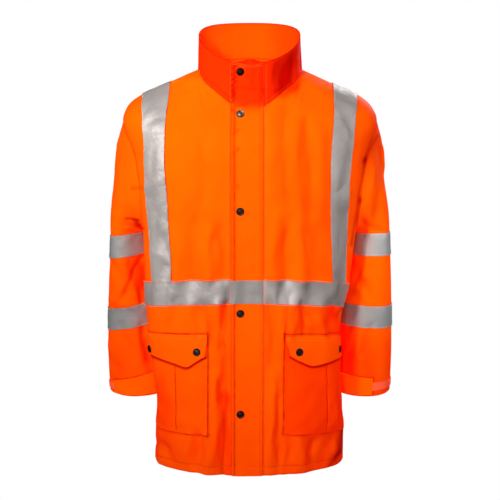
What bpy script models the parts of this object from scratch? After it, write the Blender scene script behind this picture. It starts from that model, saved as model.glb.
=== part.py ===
"""Hi-vis work jacket, worn form with no wearer: hollow, standing on nothing.

Metres, +Z up, the front faces -Y and the wearer's left is +X. The origin is
the middle of the neck, level with the points where the collar meets the
shoulders. The body is one surface, given by level sections. Each panel is a
block of it, and what lies on a panel is made from the same points moved out.
"""

import math

import bmesh
import bpy
import numpy as np
from mathutils import Vector

# Driving sizes
SIDES = {"right": -1, "left": 1}
WALL = 0.0016
GAP = 0.0003
TAPE_WALL = 0.0009
FLAP_WALL = 0.0022
POCKET_FLAP_WALL = 0.0020
ZIP_HALF = 0.004
STORM_FLAP_EDGE = {"right": 0.0397, "left": 0.0268}
NECK_HALF, NECK_FRONT, NECK_BACK = 0.1149, 0.0957, 0.0814
RIM_HALF, RIM_FRONT, RIM_BACK = 0.1115, 0.0840, 0.0785
COLLAR_ROWS = 4
COLLAR_HALF = 10
COLLAR_ARCH = 0.0095
FLAP_DIP = -0.0035
SHOULDER_TIP_Z = -0.110
UNDERARM_Z = -0.345
ARMHOLE_ROWS = 10
ARMHOLE_FRONT, ARMHOLE_BACK = 0.074, 0.082
SLEEVE_HEAD_ROWS = 5
POCKET_WIDTH = 0.180
POCKET_EDGE = {"right": 0.091, "left": 0.0745}
# Shares of the pocket's width at its columns: snap, the flap's point, pleat,
# two between, outer edge
POCKET_COLUMNS = {
    "right": (.125, .247, .40, .59, .77, 1),
    "left": (.17, .345, .57, .71, .84, 1),
}
TAB_WALL, PATCH_WALL = 0.0022, 0.0012
SNAP_RADIUS = 0.0075
SNAP_PROFILE = (
    (0, .0026), (.0034, .0024), (.0058, .0018), (.0072, .0009), (SNAP_RADIUS, 0), (0, 0),
)
SNAP_X = -0.0205


def table(names, *rows):
    """A small table: one array for each named column."""
    return dict(zip(names.split(), np.array(rows, float).T))


# The body's level sections. right, left: half widths. front, back: where the
# centre lines are. mid_right, mid_left: how far forward each side is widest.
# sq_: how square each quarter is (2 is an ellipse).
BODY = table(
    "z       right  left   front   back   mid_right mid_left sq_right sq_left sq_back",
    (-0.8755, .2160, .2130, -.1530, .1400, -.020, -.010, 2.3, 2.2, 2.1),
    (-0.8000, .2135, .2125, -.1520, .1370, -.025, -.010, 2.5, 2.2, 2.0),
    (-0.7300, .2070, .2085, -.1490, .1330, -.030, -.012, 2.8, 2.2, 2.0),
    (-0.6650, .2150, .2020, -.1455, .1280, -.038, -.014, 3.0, 2.2, 1.9),
    (-0.5900, .2245, .2010, -.1420, .1230, -.040, -.015, 3.2, 2.2, 1.9),
    (-0.5300, .2290, .2085, -.1390, .1200, -.040, -.015, 3.3, 2.2, 1.9),
    (-0.4700, .2322, .2230, -.1375, .1200, -.040, -.015, 3.4, 2.2, 1.9),
    (-0.4000, .2330, .2300, -.1395, .1240, -.038, -.014, 3.4, 2.3, 1.9),
    (-0.3450, .2365, .2365, -.1415, .1290, -.020, -.010, 3.3, 2.4, 2.0),
    (-0.2780, .2470, .2500, -.1430, .1345, -.006, -.006, 3.1, 2.6, 2.3),
    (-0.2220, .2547, .2600, -.1405, .1360, 0.000, 0.000, 3.2, 2.8, 2.5),
    (-0.1760, .2610, .2650, -.1350, .1340, 0.000, 0.000, 3.2, 3.0, 2.6),
    (-0.1500, .2702, .2710, -.1290, .1310, 0.000, 0.000, 3.2, 3.1, 2.6),
    (-0.1100, .2805, .2805, -.1090, .1250, 0.000, 0.000, 3.2, 3.1, 2.6),
    (-0.0862, .2725, .2700, -.0957, .1205, 0.000, 0.000, 3.0, 2.9, 2.5),
    (-0.0623, .2545, .2517, -.0850, .1150, 0.000, 0.000, 2.4, 2.4, 2.3),
    (-0.0492, .2283, .2258, -.0790, .1115, 0.000, 0.000, 2.0, 2.0, 2.1),
    (-0.0361, .1984, .1957, -.0725, .1070, 0.000, 0.000, 1.7, 1.7, 2.0),
    (-0.0230, .1663, .1638, -.0680, .1020, 0.000, 0.000, 1.6, 1.6, 1.9),
    (-0.0100, .1321, .1306, -.0665, .0960, 0.000, 0.000, 1.6, 1.6, 1.9),
    (0.0000, .1149, .1149, -.0660, .0910, 0.000, 0.000, 1.8, 1.8, 2.0),
    (0.0144, .1040, .1040, -.0640, .0814, 0.000, 0.000, 2.0, 2.0, 2.0),
    (0.0400, .0900, .0900, -.0600, .0600, 0.000, 0.000, 2.0, 2.0, 2.0),
)
# Heights of the grid's rows at the centre line, from the hem to the underarm
LEVELS = (
    -.8755, -.8555, -.820, -.7825, -.750, -.715, -.680, -.648, -.6175, -.592,
    -.5625, -.532, -.4972, -.472, -.447, -.413, -.379, UNDERARM_Z,
)
LAST_ROW = len(LEVELS) - 1 + ARMHOLE_ROWS
POCKET_ROWS = (3, 9)
POCKET_COLS = (3, 9)
POCKET_FLAP_ROW = 10
WAIST_ROWS = (12, 14)
BRACE_COLS = (6, 8)
# How much lower a row runs at the side seam than at the centre line
DROP = table(
    "z       right  left",
    (-.8755, -.003, .000),
    (-.7825, .008, .027),
    (-.5625, .011, .028),
    (-.4972, .021, .034),
    (-.4470, .021, .034),
    (-.3450, .000, .000),
)
# Edges of the brace tapes, as distances from the centre line
BRACE_FRONT = table(
    "z      in_right out_right in_left out_left",
    (-.469, .1671, .2108, .1803, .2109),
    (-.360, .1712, .2165, .1738, .2115),
    (-.270, .1760, .2230, .1712, .2118),
    (-.190, .1820, .2263, .1722, .2175),
    (-.145, .1815, .2275, .1752, .2218),
    (-.090, .1785, .2310, .1804, .2276),
    (-.050, .1750, .2359, .1813, .2344),
)
BRACE_BACK = table(
    "z      in_right out_right in_left out_left",
    (-.469, .1480, .1930, .1480, .1930),
    (-.345, .1520, .1965, .1520, .1965),
    (-.200, .1600, .2060, .1600, .2060),
    (-.120, .1680, .2170, .1690, .2170),
    (-.050, .1750, .2359, .1813, .2344),
)
# Rings of the sleeves. outer: the sleeve's outermost x. half: half width,
# deep: half depth, y: the ring's middle, turn: how far the ring is turned
# about Z, in degrees. tilt_: drop towards the outside, per metre.
SLEEVE = table(
    "z      outer  half   deep   y     turn tilt_right tilt_left sag",
    (-.3615, .3138, .0400, .0800, .045, 24, .12, -.04, .000),
    (-.3865, .3157, .0420, .0780, .045, 24, .13, -.04, .000),
    (-.4115, .3176, .0445, .0760, .045, 24, .14, -.03, .000),
    (-.4560, .3208, .0495, .0730, .046, 24, .15, -.01, .000),
    (-.4920, .3232, .0540, .0700, .047, 24, .17, .02, .000),
    (-.5265, .3252, .0570, .0670, .048, 24, .18, .04, .000),
    (-.5520, .3264, .0585, .0650, .049, 24, .18, .04, .000),
    (-.5775, .3274, .0600, .0620, .050, 23, .19, .05, .000),
    (-.6080, .3284, .0615, .0580, .050, 22, .20, .06, .000),
    (-.6400, .3288, .0625, .0540, .050, 21, .20, .08, .001),
    (-.6700, .3288, .0630, .0500, .050, 20, .22, .11, .002),
    (-.6940, .3284, .0632, .0460, .050, 18, .24, .11, .003),
    (-.7040, .3284, .0632, .0450, .050, 18, .18, .08, .004),
    (-.7230, .3278, .0630, .0440, .050, 18, .06, .02, .005),
    (-.7330, .3276, .0625, .0435, .050, 18, .00, -.01, .006),
    (-.7365, .3274, .0620, .0430, .050, 18, -.03, -.02, .006),
)
# How far the sleeve's head stands out between the armhole and the first ring
SLEEVE_HEAD = {"right": 0.0085, "left": 0.0035}
SLEEVE_TAPES = {"upper": (0, 2), "lower": (5, 7)}
CUFF_TAB_RINGS = (11, 14)
CUFF_PATCH_RINGS = (12, 13)
CUFF_PATCH_PAST = 2
CUFF_TAB_END = {"right": 3, "left": 5}
SLEEVE_COLUMNS = 2 * ARMHOLE_ROWS
# Large soft folds: a line from (x0, z0) to (x1, z1) in the front or back view,
# its half breadth, and its height (troughs are negative).
FOLDS = table(
    "front x0    z0    x1     z1     breadth height",
    (1, -.058, -.540, -.052, -.875, .012, -.0050),
    (1, -.092, -.870, -.098, -.700, .022, .0040),
    (1, -.128, -.860, -.120, -.740, .018, -.0040),
    (1, .1000, -.520, .0930, -.660, .014, .0035),
    (1, .0600, -.560, .0680, -.860, .016, -.0030),
    (1, .1650, -.865, .1900, -.800, .018, -.0060),
    (1, .0600, -.330, .0480, -.520, .016, .0030),
    (1, .0850, -.350, .0750, -.520, .014, -.0030),
    (1, -.080, -.360, -.090, -.520, .014, .0030),
    (1, -.130, -.380, -.120, -.540, .016, -.0035),
    (1, .1250, -.150, .1400, -.330, .022, -.0030),
    (0, -.100, -.220, -.060, -.460, .026, -.0050),
    (0, .0900, -.200, .0700, -.430, .028, -.0045),
    (0, -.050, -.540, -.070, -.875, .024, .0060),
    (0, .0600, -.560, .0500, -.875, .024, -.0060),
    (0, .1300, -.600, .1400, -.875, .022, .0050),
    (0, -.140, -.620, -.130, -.875, .022, -.0050),
    (0, .0000, -.300, .0100, -.520, .020, .0035),
)
POCKET_DEPTH = 0.0078
# How far the pocket's outside stands off the panel: shares of its depth up its
# rows and across its columns, with the pleat's groove in the middle
POCKET_UP = (0.82, 1.00, 0.95, 0.85, 0.70, 0.55, 0.40)
POCKET_ACROSS = (0.0, 0.90, 1.00, 0.62, 0.95, 0.60, 0.0)
# The bottom seam lies this far behind the bottom edge
POCKET_UNDER = 0.004
# The pocket flap at its columns: how far below its top seam the lower edge is,
# and how much of the lift off the pocket there is
FLAP_EDGE = {
    "right": (0.049, 0.0600, 0.072, 0.0640, 0.0560, 0.0490, 0.0440),
    "left": (0.047, 0.0585, 0.070, 0.0625, 0.0580, 0.0555, 0.0530),
}
FLAP_RISE = (1.0, 1.0, 1.0, 1.0, 0.9, 0.62, 0.40)
FLAP_LIFT = table(
    "share lift",
    (0, .0006),
    (.4, .0052),
    (.7, .0064),
    (1, .0078),
)
FLAP_TOP = {"right": 0.0, "left": 0.0045}
FLAP_SLANT = {"right": 0.0045, "left": 0.0100}
SNAP_HEIGHTS = (-0.007, -0.0954, -0.2992, -0.5194, -0.7383)
# Column and share of the way down for each pocket's two snaps
POCKET_SNAPS = {
    "right": {"inner": (1, 0.64), "outer": (5, 0.76)},
    "left": {"inner": (1, 0.62), "outer": (5, 0.60)},
}
COLLAR_DENT = (0.066, -0.020, 0.024, 0.034, -0.0065)


def curve(xs, ys, x):
    """Smooth curve through the points of a table, without overshoot."""
    step = np.diff(ys) / np.diff(xs)
    same = step[:-1] * step[1:] > 0
    total = np.where(same, step[:-1] + step[1:], 1.0)
    slope = np.empty(len(xs))
    slope[0], slope[-1] = step[0], step[-1]
    slope[1:-1] = np.where(same, 2 * step[:-1] * step[1:] / total, 0.0)
    i = np.clip(np.searchsorted(xs, x) - 1, 0, len(xs) - 2)
    width = xs[i + 1] - xs[i]
    t = np.clip((x - xs[i]) / width, 0, 1)
    rise = (3 - 2 * t) * t * t
    lead = t * (1 - t) * width
    return ys[i] * (1 - rise) + ys[i + 1] * rise + lead * ((1 - t) * slope[i] - t * slope[i + 1])


def at(tab, name, z):
    return curve(tab["z"], tab[name], z)


def ease(t):
    """From 0 to 1 with level ends."""
    t = np.clip(t, 0, 1)
    return t * t * (3 - 2 * t)


def section(side, z):
    """Half of the section at height z, from the front centre to the back one.

    Returns x, y and the distance s along it, and the index of the widest point.
    """
    turn = ease(np.linspace(0, 1, 121)) * math.pi / 2
    half, mid = at(BODY, side, z), at(BODY, "mid_" + side, z)
    xs, ys = [], []
    for edge, square in (("front", "sq_" + side), ("back", "sq_back")):
        power = 2 / at(BODY, square, z)
        xs.append(half * np.sin(turn) ** power)
        ys.append(mid + (at(BODY, edge, z) - mid) * np.abs(np.cos(turn)) ** power)
    x = np.concatenate([xs[0], xs[1][-2::-1]])
    y = np.concatenate([ys[0], ys[1][-2::-1]])
    s = np.concatenate([[0], np.cumsum(np.hypot(np.diff(x), np.diff(y)))])
    return x, y, s, len(turn) - 1


def surface_y(side, edge, x, z):
    """Where the front or back quarter of the body is at x and z."""
    half, mid = at(BODY, side, z), at(BODY, "mid_" + side, z)
    square = at(BODY, "sq_" + side if edge == "front" else "sq_back", z)
    rest = np.clip(1 - np.clip(x / half, 0, 1) ** square, 0, 1)
    return mid + (at(BODY, edge, z) - mid) * rest ** (1 / square)


def surface_x(side, edge, y, z):
    """How wide the front or back quarter of the body is at y and z."""
    half, mid = at(BODY, side, z), at(BODY, "mid_" + side, z)
    square = at(BODY, "sq_" + side if edge == "front" else "sq_back", z)
    part = np.clip((y - mid) / (at(BODY, edge, z) - mid), 0, 1)
    return half * (1 - part ** square) ** (1 / square)


def section_angle(side, edge, points):
    """How far round each point is: 0 at the centre line, a quarter turn at the side."""
    z = points[:, 2]
    half, mid = at(BODY, side, z), at(BODY, "mid_" + side, z)
    square = at(BODY, "sq_" + side if edge == "front" else "sq_back", z)
    x = np.clip(points[:, 0] / half, 0, 1) ** (square / 2)
    y = np.clip((points[:, 1] - mid) / (at(BODY, edge, z) - mid), 0, 1) ** (square / 2)
    return np.arctan2(x, y)


def on_section(side, edge, angle, z):
    """The body's points at these angles and heights."""
    half, mid = at(BODY, side, z), at(BODY, "mid_" + side, z)
    power = 2 / at(BODY, "sq_" + side if edge == "front" else "sq_back", z)
    x = half * np.sin(angle) ** power
    y = mid + (at(BODY, edge, z) - mid) * np.abs(np.cos(angle)) ** power
    return np.array([x, y, z]).T


SHOULDER_Z = np.linspace(SHOULDER_TIP_Z, 0.0, 400)


def neck_point(side, theta):
    """Where the neck opening meets the body, theta round from the front centre."""
    x = NECK_HALF * math.sin(theta)
    edge = "front" if theta < math.pi / 2 else "back"
    y = -(NECK_FRONT if edge == "front" else NECK_BACK) * math.cos(theta)
    z = np.linspace(-0.12, 0.04, 500)
    half, mid = at(BODY, side, z), at(BODY, "mid_" + side, z)
    square = at(BODY, "sq_" + side if edge == "front" else "sq_back", z)
    depth = np.clip((y - mid) / (at(BODY, edge, z) - mid), 0, None)
    inside = (x / half) ** square + depth ** square - 1
    return np.array([x, y, float(np.interp(0, inside, z))])


def resample(points, count):
    """The polyline's points at equal distances, count steps."""
    s = np.concatenate([[0], np.cumsum(np.linalg.norm(np.diff(points, axis=0), axis=1))])
    wanted = np.linspace(0, s[-1], count + 1)
    return np.array([np.interp(wanted, s, points[:, k]) for k in range(3)]).T


def rising(side, edge, x_of_z, z_low, z_high):
    """A line up the body from z_low to z_high, with x given at each height."""
    t = np.linspace(0, 1, 80)
    z = z_low + (z_high - z_low) * (1 - (1 - t) ** 2)
    x = x_of_z(z)
    return np.array([x, surface_y(side, edge, x, z), z]).T


def armhole(side, edge):
    """Front or back half of the armhole, from the underarm to the shoulder tip."""
    turn = np.linspace(math.pi, 0, 120)
    middle = (SHOULDER_TIP_Z + UNDERARM_Z) / 2
    z = middle + (SHOULDER_TIP_Z - middle) * np.cos(turn)
    reach = -ARMHOLE_FRONT if edge == "front" else ARMHOLE_BACK
    y = at(BODY, "mid_" + side, z) + reach * np.sin(turn)
    return np.array([surface_x(side, edge, y, z), y, z]).T


def seam_distance(edge, z, s, widest):
    """How far along the section the side seam is from the centre line."""
    front = s[widest] + 0.02 * ease((UNDERARM_Z - z) / 0.15)
    return front if edge == "front" else s[-1] - front


def columns(side, edge, z, line):
    """Distances from the centre line, along the section, of the 12 columns."""
    x, _, s, widest = line
    half_way = s[-1]
    brace = BRACE_FRONT if edge == "front" else BRACE_BACK

    def along(distance):
        if edge == "front":
            return np.interp(distance, x[: widest + 1], s[: widest + 1])
        return half_way - np.interp(distance, x[: widest - 1 : -1], s[: widest - 1 : -1])

    seam = seam_distance(edge, z, s, widest)
    inner, outer = along(at(brace, "in_" + side, z)), along(at(brace, "out_" + side, z))
    high = np.array([inner, (inner + outer) / 2, outer])
    if edge == "front":
        pocket = POCKET_EDGE[side]
        first = [ZIP_HALF, STORM_FLAP_EDGE[side], (STORM_FLAP_EDGE[side] + pocket) / 2, pocket]
        low = pocket + POCKET_WIDTH * np.array(POCKET_COLUMNS[side])
        upper_first = first[:3] + [pocket + .004, .104, .128]
    else:
        first = [0, .026, .052, .078]
        low = np.array([.104, .130, .155, .180, .205, (.205 * 2 + seam) / 3])
        upper_first = first + [.104, .128]
    lower = np.concatenate([first, low, [(low[-1] + seam) / 2, seam]])
    rest = outer + (seam - outer) * np.array([1, 2, 3]) / 3
    upper = np.concatenate([upper_first, high, rest])
    mix = ease((z - LEVELS[POCKET_FLAP_ROW]) / (LEVELS[WAIST_ROWS[1]] - LEVELS[POCKET_FLAP_ROW]))
    return lower + (upper - lower) * mix, seam


def level_rows(side, edge):
    """The grid's rows from the hem to the underarm."""
    rows = []
    for z in LEVELS:
        line = section(side, z)
        spots, seam = columns(side, edge, z, line)
        row = []
        for spot in spots:
            share = (spot / seam) ** 2
            low = z - at(DROP, side, z) * share
            lower = section(side, low)
            reach = seam_distance(edge, z, line[2], line[3])
            reach = seam_distance(edge, z, lower[2], lower[3]) - reach
            here = spot + share * reach
            if edge == "back":
                here = lower[2][-1] - here
            row.append((np.interp(here, lower[2], lower[0]), np.interp(here, lower[2], lower[1]), low))
        rows.append(row)
    return np.array(rows)


def quarter(side, edge):
    """Grid of one front or half of the back: rows up, columns from the centre out."""
    low = level_rows(side, edge)
    start = low[-1]
    brace = BRACE_FRONT if edge == "front" else BRACE_BACK
    if edge == "front":
        angles = [math.asin(x / NECK_HALF) for x in (ZIP_HALF, STORM_FLAP_EDGE[side])]
        angles += [math.radians(a) for a in (40, 57, 73, 90)]
    else:
        angles = [math.pi - math.radians(a) for a in (0, 18, 36, 54, 72, 90)]
    lines = []
    for k, angle in enumerate(angles):
        top = neck_point(side, angle)
        lines.append(rising(
            side, edge, lambda z: np.interp(z, [start[k][2], top[2]], [start[k][0], top[0]]),
            start[k][2], top[2],
        ))
        lines[-1][-1] = top

    def brace_x(z):
        inner, outer = at(brace, "in_" + side, z), at(brace, "out_" + side, z)
        return (inner, (inner + outer) / 2, outer)

    for k, name in enumerate(("in_", "both", "out_")):
        seam = BRACE_FRONT
        ends = [at(seam, n + side, SHOULDER_Z) for n in (("in_", "out_") if name == "both" else (name,))]
        top = float(np.interp(0, sum(ends) / len(ends) - at(BODY, side, SHOULDER_Z), SHOULDER_Z))
        lines.append(rising(side, edge, lambda z: brace_x(z)[k], start[6 + k][2], top))
        lines[-1][-1] = (at(BODY, side, top), at(BODY, "mid_" + side, top), top)
    outline = resample(armhole(side, edge), ARMHOLE_ROWS)
    tops = [resample(line, ARMHOLE_ROWS) for line in lines]
    inner, outer = (section_angle(side, edge, line) for line in (tops[8], outline))
    for share, first in ((1 / 3, start[9]), (2 / 3, start[10])):
        angle = inner * (1 - share) + outer * share
        z = tops[8][:, 2] * (1 - share) + outline[:, 2] * share
        late = (1 - np.linspace(0, 1, ARMHOLE_ROWS + 1)) ** 4
        angle += late * (section_angle(side, edge, first[None])[0] - angle[0])
        z += late * (first[2] - z[0])
        tops.append(on_section(side, edge, angle, z))
    tops.append(outline)
    high = np.array(tops).transpose(1, 0, 2)
    grid = np.concatenate([low[:-1], high])
    grid[..., 0] *= SIDES[side]
    return grid


def padded(grid, left, right, below, above):
    """The grid with one more row and column on each side."""
    wide = np.concatenate([left[:, None], grid, right[:, None]], axis=1)
    low = np.concatenate([[2 * below[0] - below[1]], below, [2 * below[-1] - below[-2]]])
    high = np.concatenate([[2 * above[0] - above[1]], above, [2 * above[-1] - above[-2]]])
    return np.concatenate([[low], wide, [high]])


def beyond(edge, inner):
    """A row or column past an edge, straight on."""
    return 2 * edge - inner


def normals(pad, flip):
    across = pad[1:-1, 2:] - pad[1:-1, :-2]
    up = pad[2:, 1:-1] - pad[:-2, 1:-1]
    n = np.cross(across, up) * flip
    return n / np.linalg.norm(n, axis=-1, keepdims=True)


def with_neighbours(quarters):
    """Each quarter padded with the rows and columns that lie across its seams."""
    under = len(LEVELS)
    pads = {}
    for (side, edge), grid in quarters.items():
        other = quarters[side, "back" if edge == "front" else "front"]
        across = quarters["left" if side == "right" else "right", edge]
        centre = across[:, 1] if edge == "back" else grid[:, 1] * (-1, 1, 1)
        outside = beyond(grid[:, -1], grid[:, -2])
        outside[:under] = other[:under, -2]
        above = beyond(grid[-1], grid[-2])
        above[5:] = other[-2, 5:]
        pads[side, edge] = padded(grid, centre, outside, beyond(grid[0], grid[1]), above)
    return pads


def fold_heights(points, front):
    """Height of the large folds at each point."""
    height = np.zeros(points.shape[:-1])
    x, z = points[..., 0], points[..., 2]
    rows = zip(*(FOLDS[name] for name in ("front", "x0", "z0", "x1", "z1", "breadth", "height")))
    for is_front, x0, z0, x1, z1, breadth, tall in rows:
        if bool(is_front) != front:
            continue
        dx, dz = x1 - x0, z1 - z0
        length = math.hypot(dx, dz)
        along = ((x - x0) * dx + (z - z0) * dz) / length
        off = ((x - x0) * dz - (z - z0) * dx) / length
        past = np.maximum(np.maximum(-along, along - length), 0)
        height += tall * np.exp(-(off / breadth) ** 2 - (past / (2.5 * breadth)) ** 2)
    return height


def facing(side, edge):
    return SIDES[side] * (1 if edge == "front" else -1)


def body_pads():
    """The four quarters with the folds pressed in, still at the seams, and padded."""
    quarters = {(side, edge): quarter(side, edge) for side in SIDES for edge in ("front", "back")}
    folded = {}
    for (side, edge), pad in with_neighbours(quarters).items():
        grid, n = pad[1:-1, 1:-1], normals(pad, facing(side, edge))
        rows, cols = np.arange(len(grid)), np.arange(grid.shape[1])
        still = ease((len(grid) - 2 - rows) / 4)[:, None] * ease((cols[-1] - cols) / 3)[None]
        if edge == "front":
            still = still * ease(cols / 2)[None]
        folded[side, edge] = grid + (fold_heights(grid, edge == "front") * still)[..., None] * n
    return with_neighbours(folded)


def sleeve_ring(side, k, count):
    """Points of one level ring, from the outermost round the front."""
    row = {name: SLEEVE[name][k] for name in SLEEVE}
    turn = math.radians(row["turn"])
    reach = math.hypot(row["half"] * math.cos(turn), row["deep"] * math.sin(turn))
    middle = row["outer"] - reach
    angle = -np.arange(count) * 2 * math.pi / count
    wide, deep = row["half"] * np.cos(angle), row["deep"] * np.sin(angle)
    x = wide * math.cos(turn) - deep * math.sin(turn)
    y = wide * math.sin(turn) + deep * math.cos(turn)
    z = row["z"] - row["tilt_" + side] * x - row["sag"] * np.sin(angle) ** 2
    return np.array([SIDES[side] * (middle + x), row["y"] + y, z]).T


def sleeve_pad(side, pads):
    """Padded rings of a sleeve, from the armhole to the cuff."""
    sign = SIDES[side]
    front, back = pads[side, "front"], pads[side, "back"]
    n_front, n_back = normals(front, facing(side, "front")), normals(back, facing(side, "back"))
    front, back = front[1:-1, 1:-1], back[1:-1, 1:-1]
    under = len(LEVELS) - 1
    hole = np.concatenate([front[:under - 1:-1, -1], back[under + 1:-1, -1]])
    out = np.concatenate([n_front[:under - 1:-1, -1], n_back[under + 1:-1, -1]])
    tangent = np.roll(hole, -1, axis=0) - np.roll(hole, 1, axis=0)
    into = np.cross(tangent, out)
    into /= np.linalg.norm(into, axis=1, keepdims=True)
    into *= np.sign(((hole.mean(axis=0) - hole) * into).sum(axis=1))[:, None]
    turn = np.cos(np.arange(SLEEVE_COLUMNS) * 2 * math.pi / SLEEVE_COLUMNS)
    top, bottom = np.maximum(turn, 0)[:, None], np.maximum(-turn, 0)[:, None]
    flank = 1 - top - bottom
    down = np.array([0, 0, -1])
    lead = into * (top + 0.45 * flank) + out * (0.35 * flank + 0.75 * bottom)
    lead = lead + down * (0.1 * top + 0.65 * flank + 0.9 * bottom)
    lead /= np.linalg.norm(lead, axis=1, keepdims=True)
    rings = [sleeve_ring(side, k, SLEEVE_COLUMNS) for k in range(len(SLEEVE["z"]))]
    end = rings[1] - rings[0]
    end /= np.linalg.norm(end, axis=1, keepdims=True)
    start = hole + GAP * into
    span = np.linalg.norm(rings[0] - start, axis=1, keepdims=True)
    head = []
    for f in np.linspace(0, 1, SLEEVE_HEAD_ROWS + 1)[:-1]:
        rise = f * f * (3 - 2 * f)
        pull = f * (1 - f) * span
        ring = start * (1 - rise) + rings[0] * rise + pull * ((1 - f) * lead - f * end)
        ring[:, 0] += sign * SLEEVE_HEAD[side] * math.sin(math.pi * f) * top[:, 0]
        head.append(ring)
    grid = np.array(head + rings)
    pad = padded(grid, grid[:, -1], grid[:, 0], beyond(grid[0], grid[1]), beyond(grid[-1], grid[-2]))
    pad[:, 0], pad[:, -1] = pad[:, -2], pad[:, 1]
    return pad


def collar_pad(pads, arch=COLLAR_ARCH):
    """Padded collar, columns from the right front edge round the back to the left."""
    parts = []
    for side in ("right", "left"):
        front, back = pads[side, "front"][-2, 1:7], pads[side, "back"][-2, 5:1:-1]
        parts.append(np.concatenate([front, back]))
    base = np.concatenate([parts[0], pads["left", "back"][-2, 1:2], parts[1][::-1]])
    reach = np.where(base[:, 1] < 0, NECK_FRONT, NECK_BACK)
    theta = np.arctan2(base[:, 0] / NECK_HALF, -base[:, 1] / reach)
    depth = np.where(base[:, 1] < 0, RIM_FRONT, RIM_BACK)
    rim_z = 0.0663 - 0.0475 * np.cos(theta) - 0.0084 * np.cos(2 * theta)
    rim = np.array([RIM_HALF * np.sin(theta) - 0.001, -depth * np.cos(theta), rim_z]).T
    rim[:, 0] = np.where(np.abs(base[:, 0]) < 0.05, base[:, 0], rim[:, 0])
    way = (rim - base) / np.linalg.norm(rim - base, axis=1, keepdims=True)
    rim += (arch * np.exp(-(base[:, 0] / 0.02) ** 2) * (base[:, 1] < 0))[:, None] * way
    base = base + GAP * way
    t = np.linspace(0, 1, COLLAR_ROWS + 1)[:, None, None]
    grid = base * (1 - t) + rim * t
    out = grid * (1, 1, 0)
    out /= np.linalg.norm(out, axis=-1, keepdims=True)
    x0, z0, breadth, tall, height = COLLAR_DENT
    dent = np.exp(-((grid[..., 0] - x0) / breadth) ** 2 - ((grid[..., 2] - z0) / tall) ** 2)
    dent = dent * (grid[..., 1] < 0) * height * np.sin(np.pi * np.clip(t[..., 0] * .9, 0, 1))
    grid = grid + dent[..., None] * out
    return padded(
        grid, beyond(grid[:, 0], grid[:, 1]), beyond(grid[:, -1], grid[:, -2]),
        beyond(grid[0], grid[1]), beyond(grid[-1], grid[-2]),
    )


def block(grid, rows, cols, lift=0.0):
    """Part of a grid, moved out along its normals.

    A grid is its points, its normals and the numbers of its rows and columns.
    """
    points, out, row, col = grid
    r = (row > rows[0] - 1e-6) & (row < rows[1] + 1e-6)
    c = (col > cols[0] - 1e-6) & (col < cols[1] + 1e-6)
    n = out[r][:, c]
    return points[r][:, c] + lift * n, n, row[r], col[c]


def joined(first, second, axis):
    """Two blocks put end to end; where they meet, the first one's points stay."""
    rest = (slice(None),) * axis + (slice(1, None),)
    return tuple(np.concatenate([a, b[rest]], axis=axis) for a, b in zip(first[:2], second[:2]))


def flipped(part, axis):
    return np.flip(part[0], axis), np.flip(part[1], axis)


def turned_round(grid):
    """A ring with its last columns put before its first."""
    points, out, row, col = grid
    col = (col + CUFF_PATCH_PAST) % SLEEVE_COLUMNS - CUFF_PATCH_PAST
    order = np.argsort(col)
    return points[:, order], out[:, order], row, col[order]


def drawn_in(points, amount=GAP / 2, ring=False):
    """The block with its edges pulled in, so that neighbours stay parted."""
    p = points.copy()

    def pull(edge, inner):
        way = inner - edge
        return edge + amount * way / np.linalg.norm(way, axis=-1, keepdims=True)

    p[0], p[-1] = pull(points[0], points[1]), pull(points[-1], points[-2])
    if not ring:
        q = p.copy()
        q[:, 0], q[:, -1] = pull(p[:, 0], p[:, 1]), pull(p[:, -1], p[:, -2])
        p = q
    return p


def centre_strip(body, collar, cols, lift):
    """A strip over the front's middle, from the hem to the collar's rim."""
    right, left = (block(body[side, "front"], (0, LAST_ROW), (0, cols), lift) for side in SIDES)
    low = [np.concatenate([np.flip(a, 1), b], axis=1) for a, b in zip(right[:2], left[:2])]
    ends = 2 * COLLAR_HALF
    right = block(collar, (0, COLLAR_ROWS), (0, cols), lift)
    left = block(collar, (0, COLLAR_ROWS), (ends - cols, ends), lift)
    high = [np.concatenate([np.flip(a, 1), np.flip(b, 1)], axis=1) for a, b in zip(right[:2], left[:2])]
    bend = low[1][-1] + high[1][0]
    bend /= np.linalg.norm(bend, axis=-1, keepdims=True)
    seam = low[0][-1] + lift * (bend - low[1][-1])
    points = np.concatenate([low[0][:-1], [seam], high[0][1:]])
    return points, np.concatenate([low[1][:-1], [bend], high[1][1:]])


def table_at(values, spots):
    """A row of numbers read between its places."""
    return curve(np.arange(len(values), dtype=float), np.array(values, float), spots)


def pocket(side, body):
    """Rows of the pocket's inner side from its bottom seam to its mouth."""
    flat, out, rows, cols = block(body[side, "front"], POCKET_ROWS, POCKET_COLS, GAP)
    up_share = table_at(POCKET_UP, rows - POCKET_ROWS[0])
    across_share = table_at(POCKET_ACROSS, cols - POCKET_COLS[0])
    rise = POCKET_DEPTH * np.outer(up_share, across_share)
    points = flat + np.maximum(rise - WALL, 0)[..., None] * out
    up = points[1] - points[0]
    up /= np.linalg.norm(up, axis=-1, keepdims=True)
    lean = out.copy()
    lean[0] = out[0] - 0.6 * up
    lean[0] /= np.linalg.norm(lean[0], axis=-1, keepdims=True)
    under = 0.3 * out[0] - up
    under /= np.linalg.norm(under, axis=-1, keepdims=True)
    seam = flat[0] + POCKET_UNDER * up
    return np.concatenate([[seam], points]), np.concatenate([[under], lean])


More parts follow.
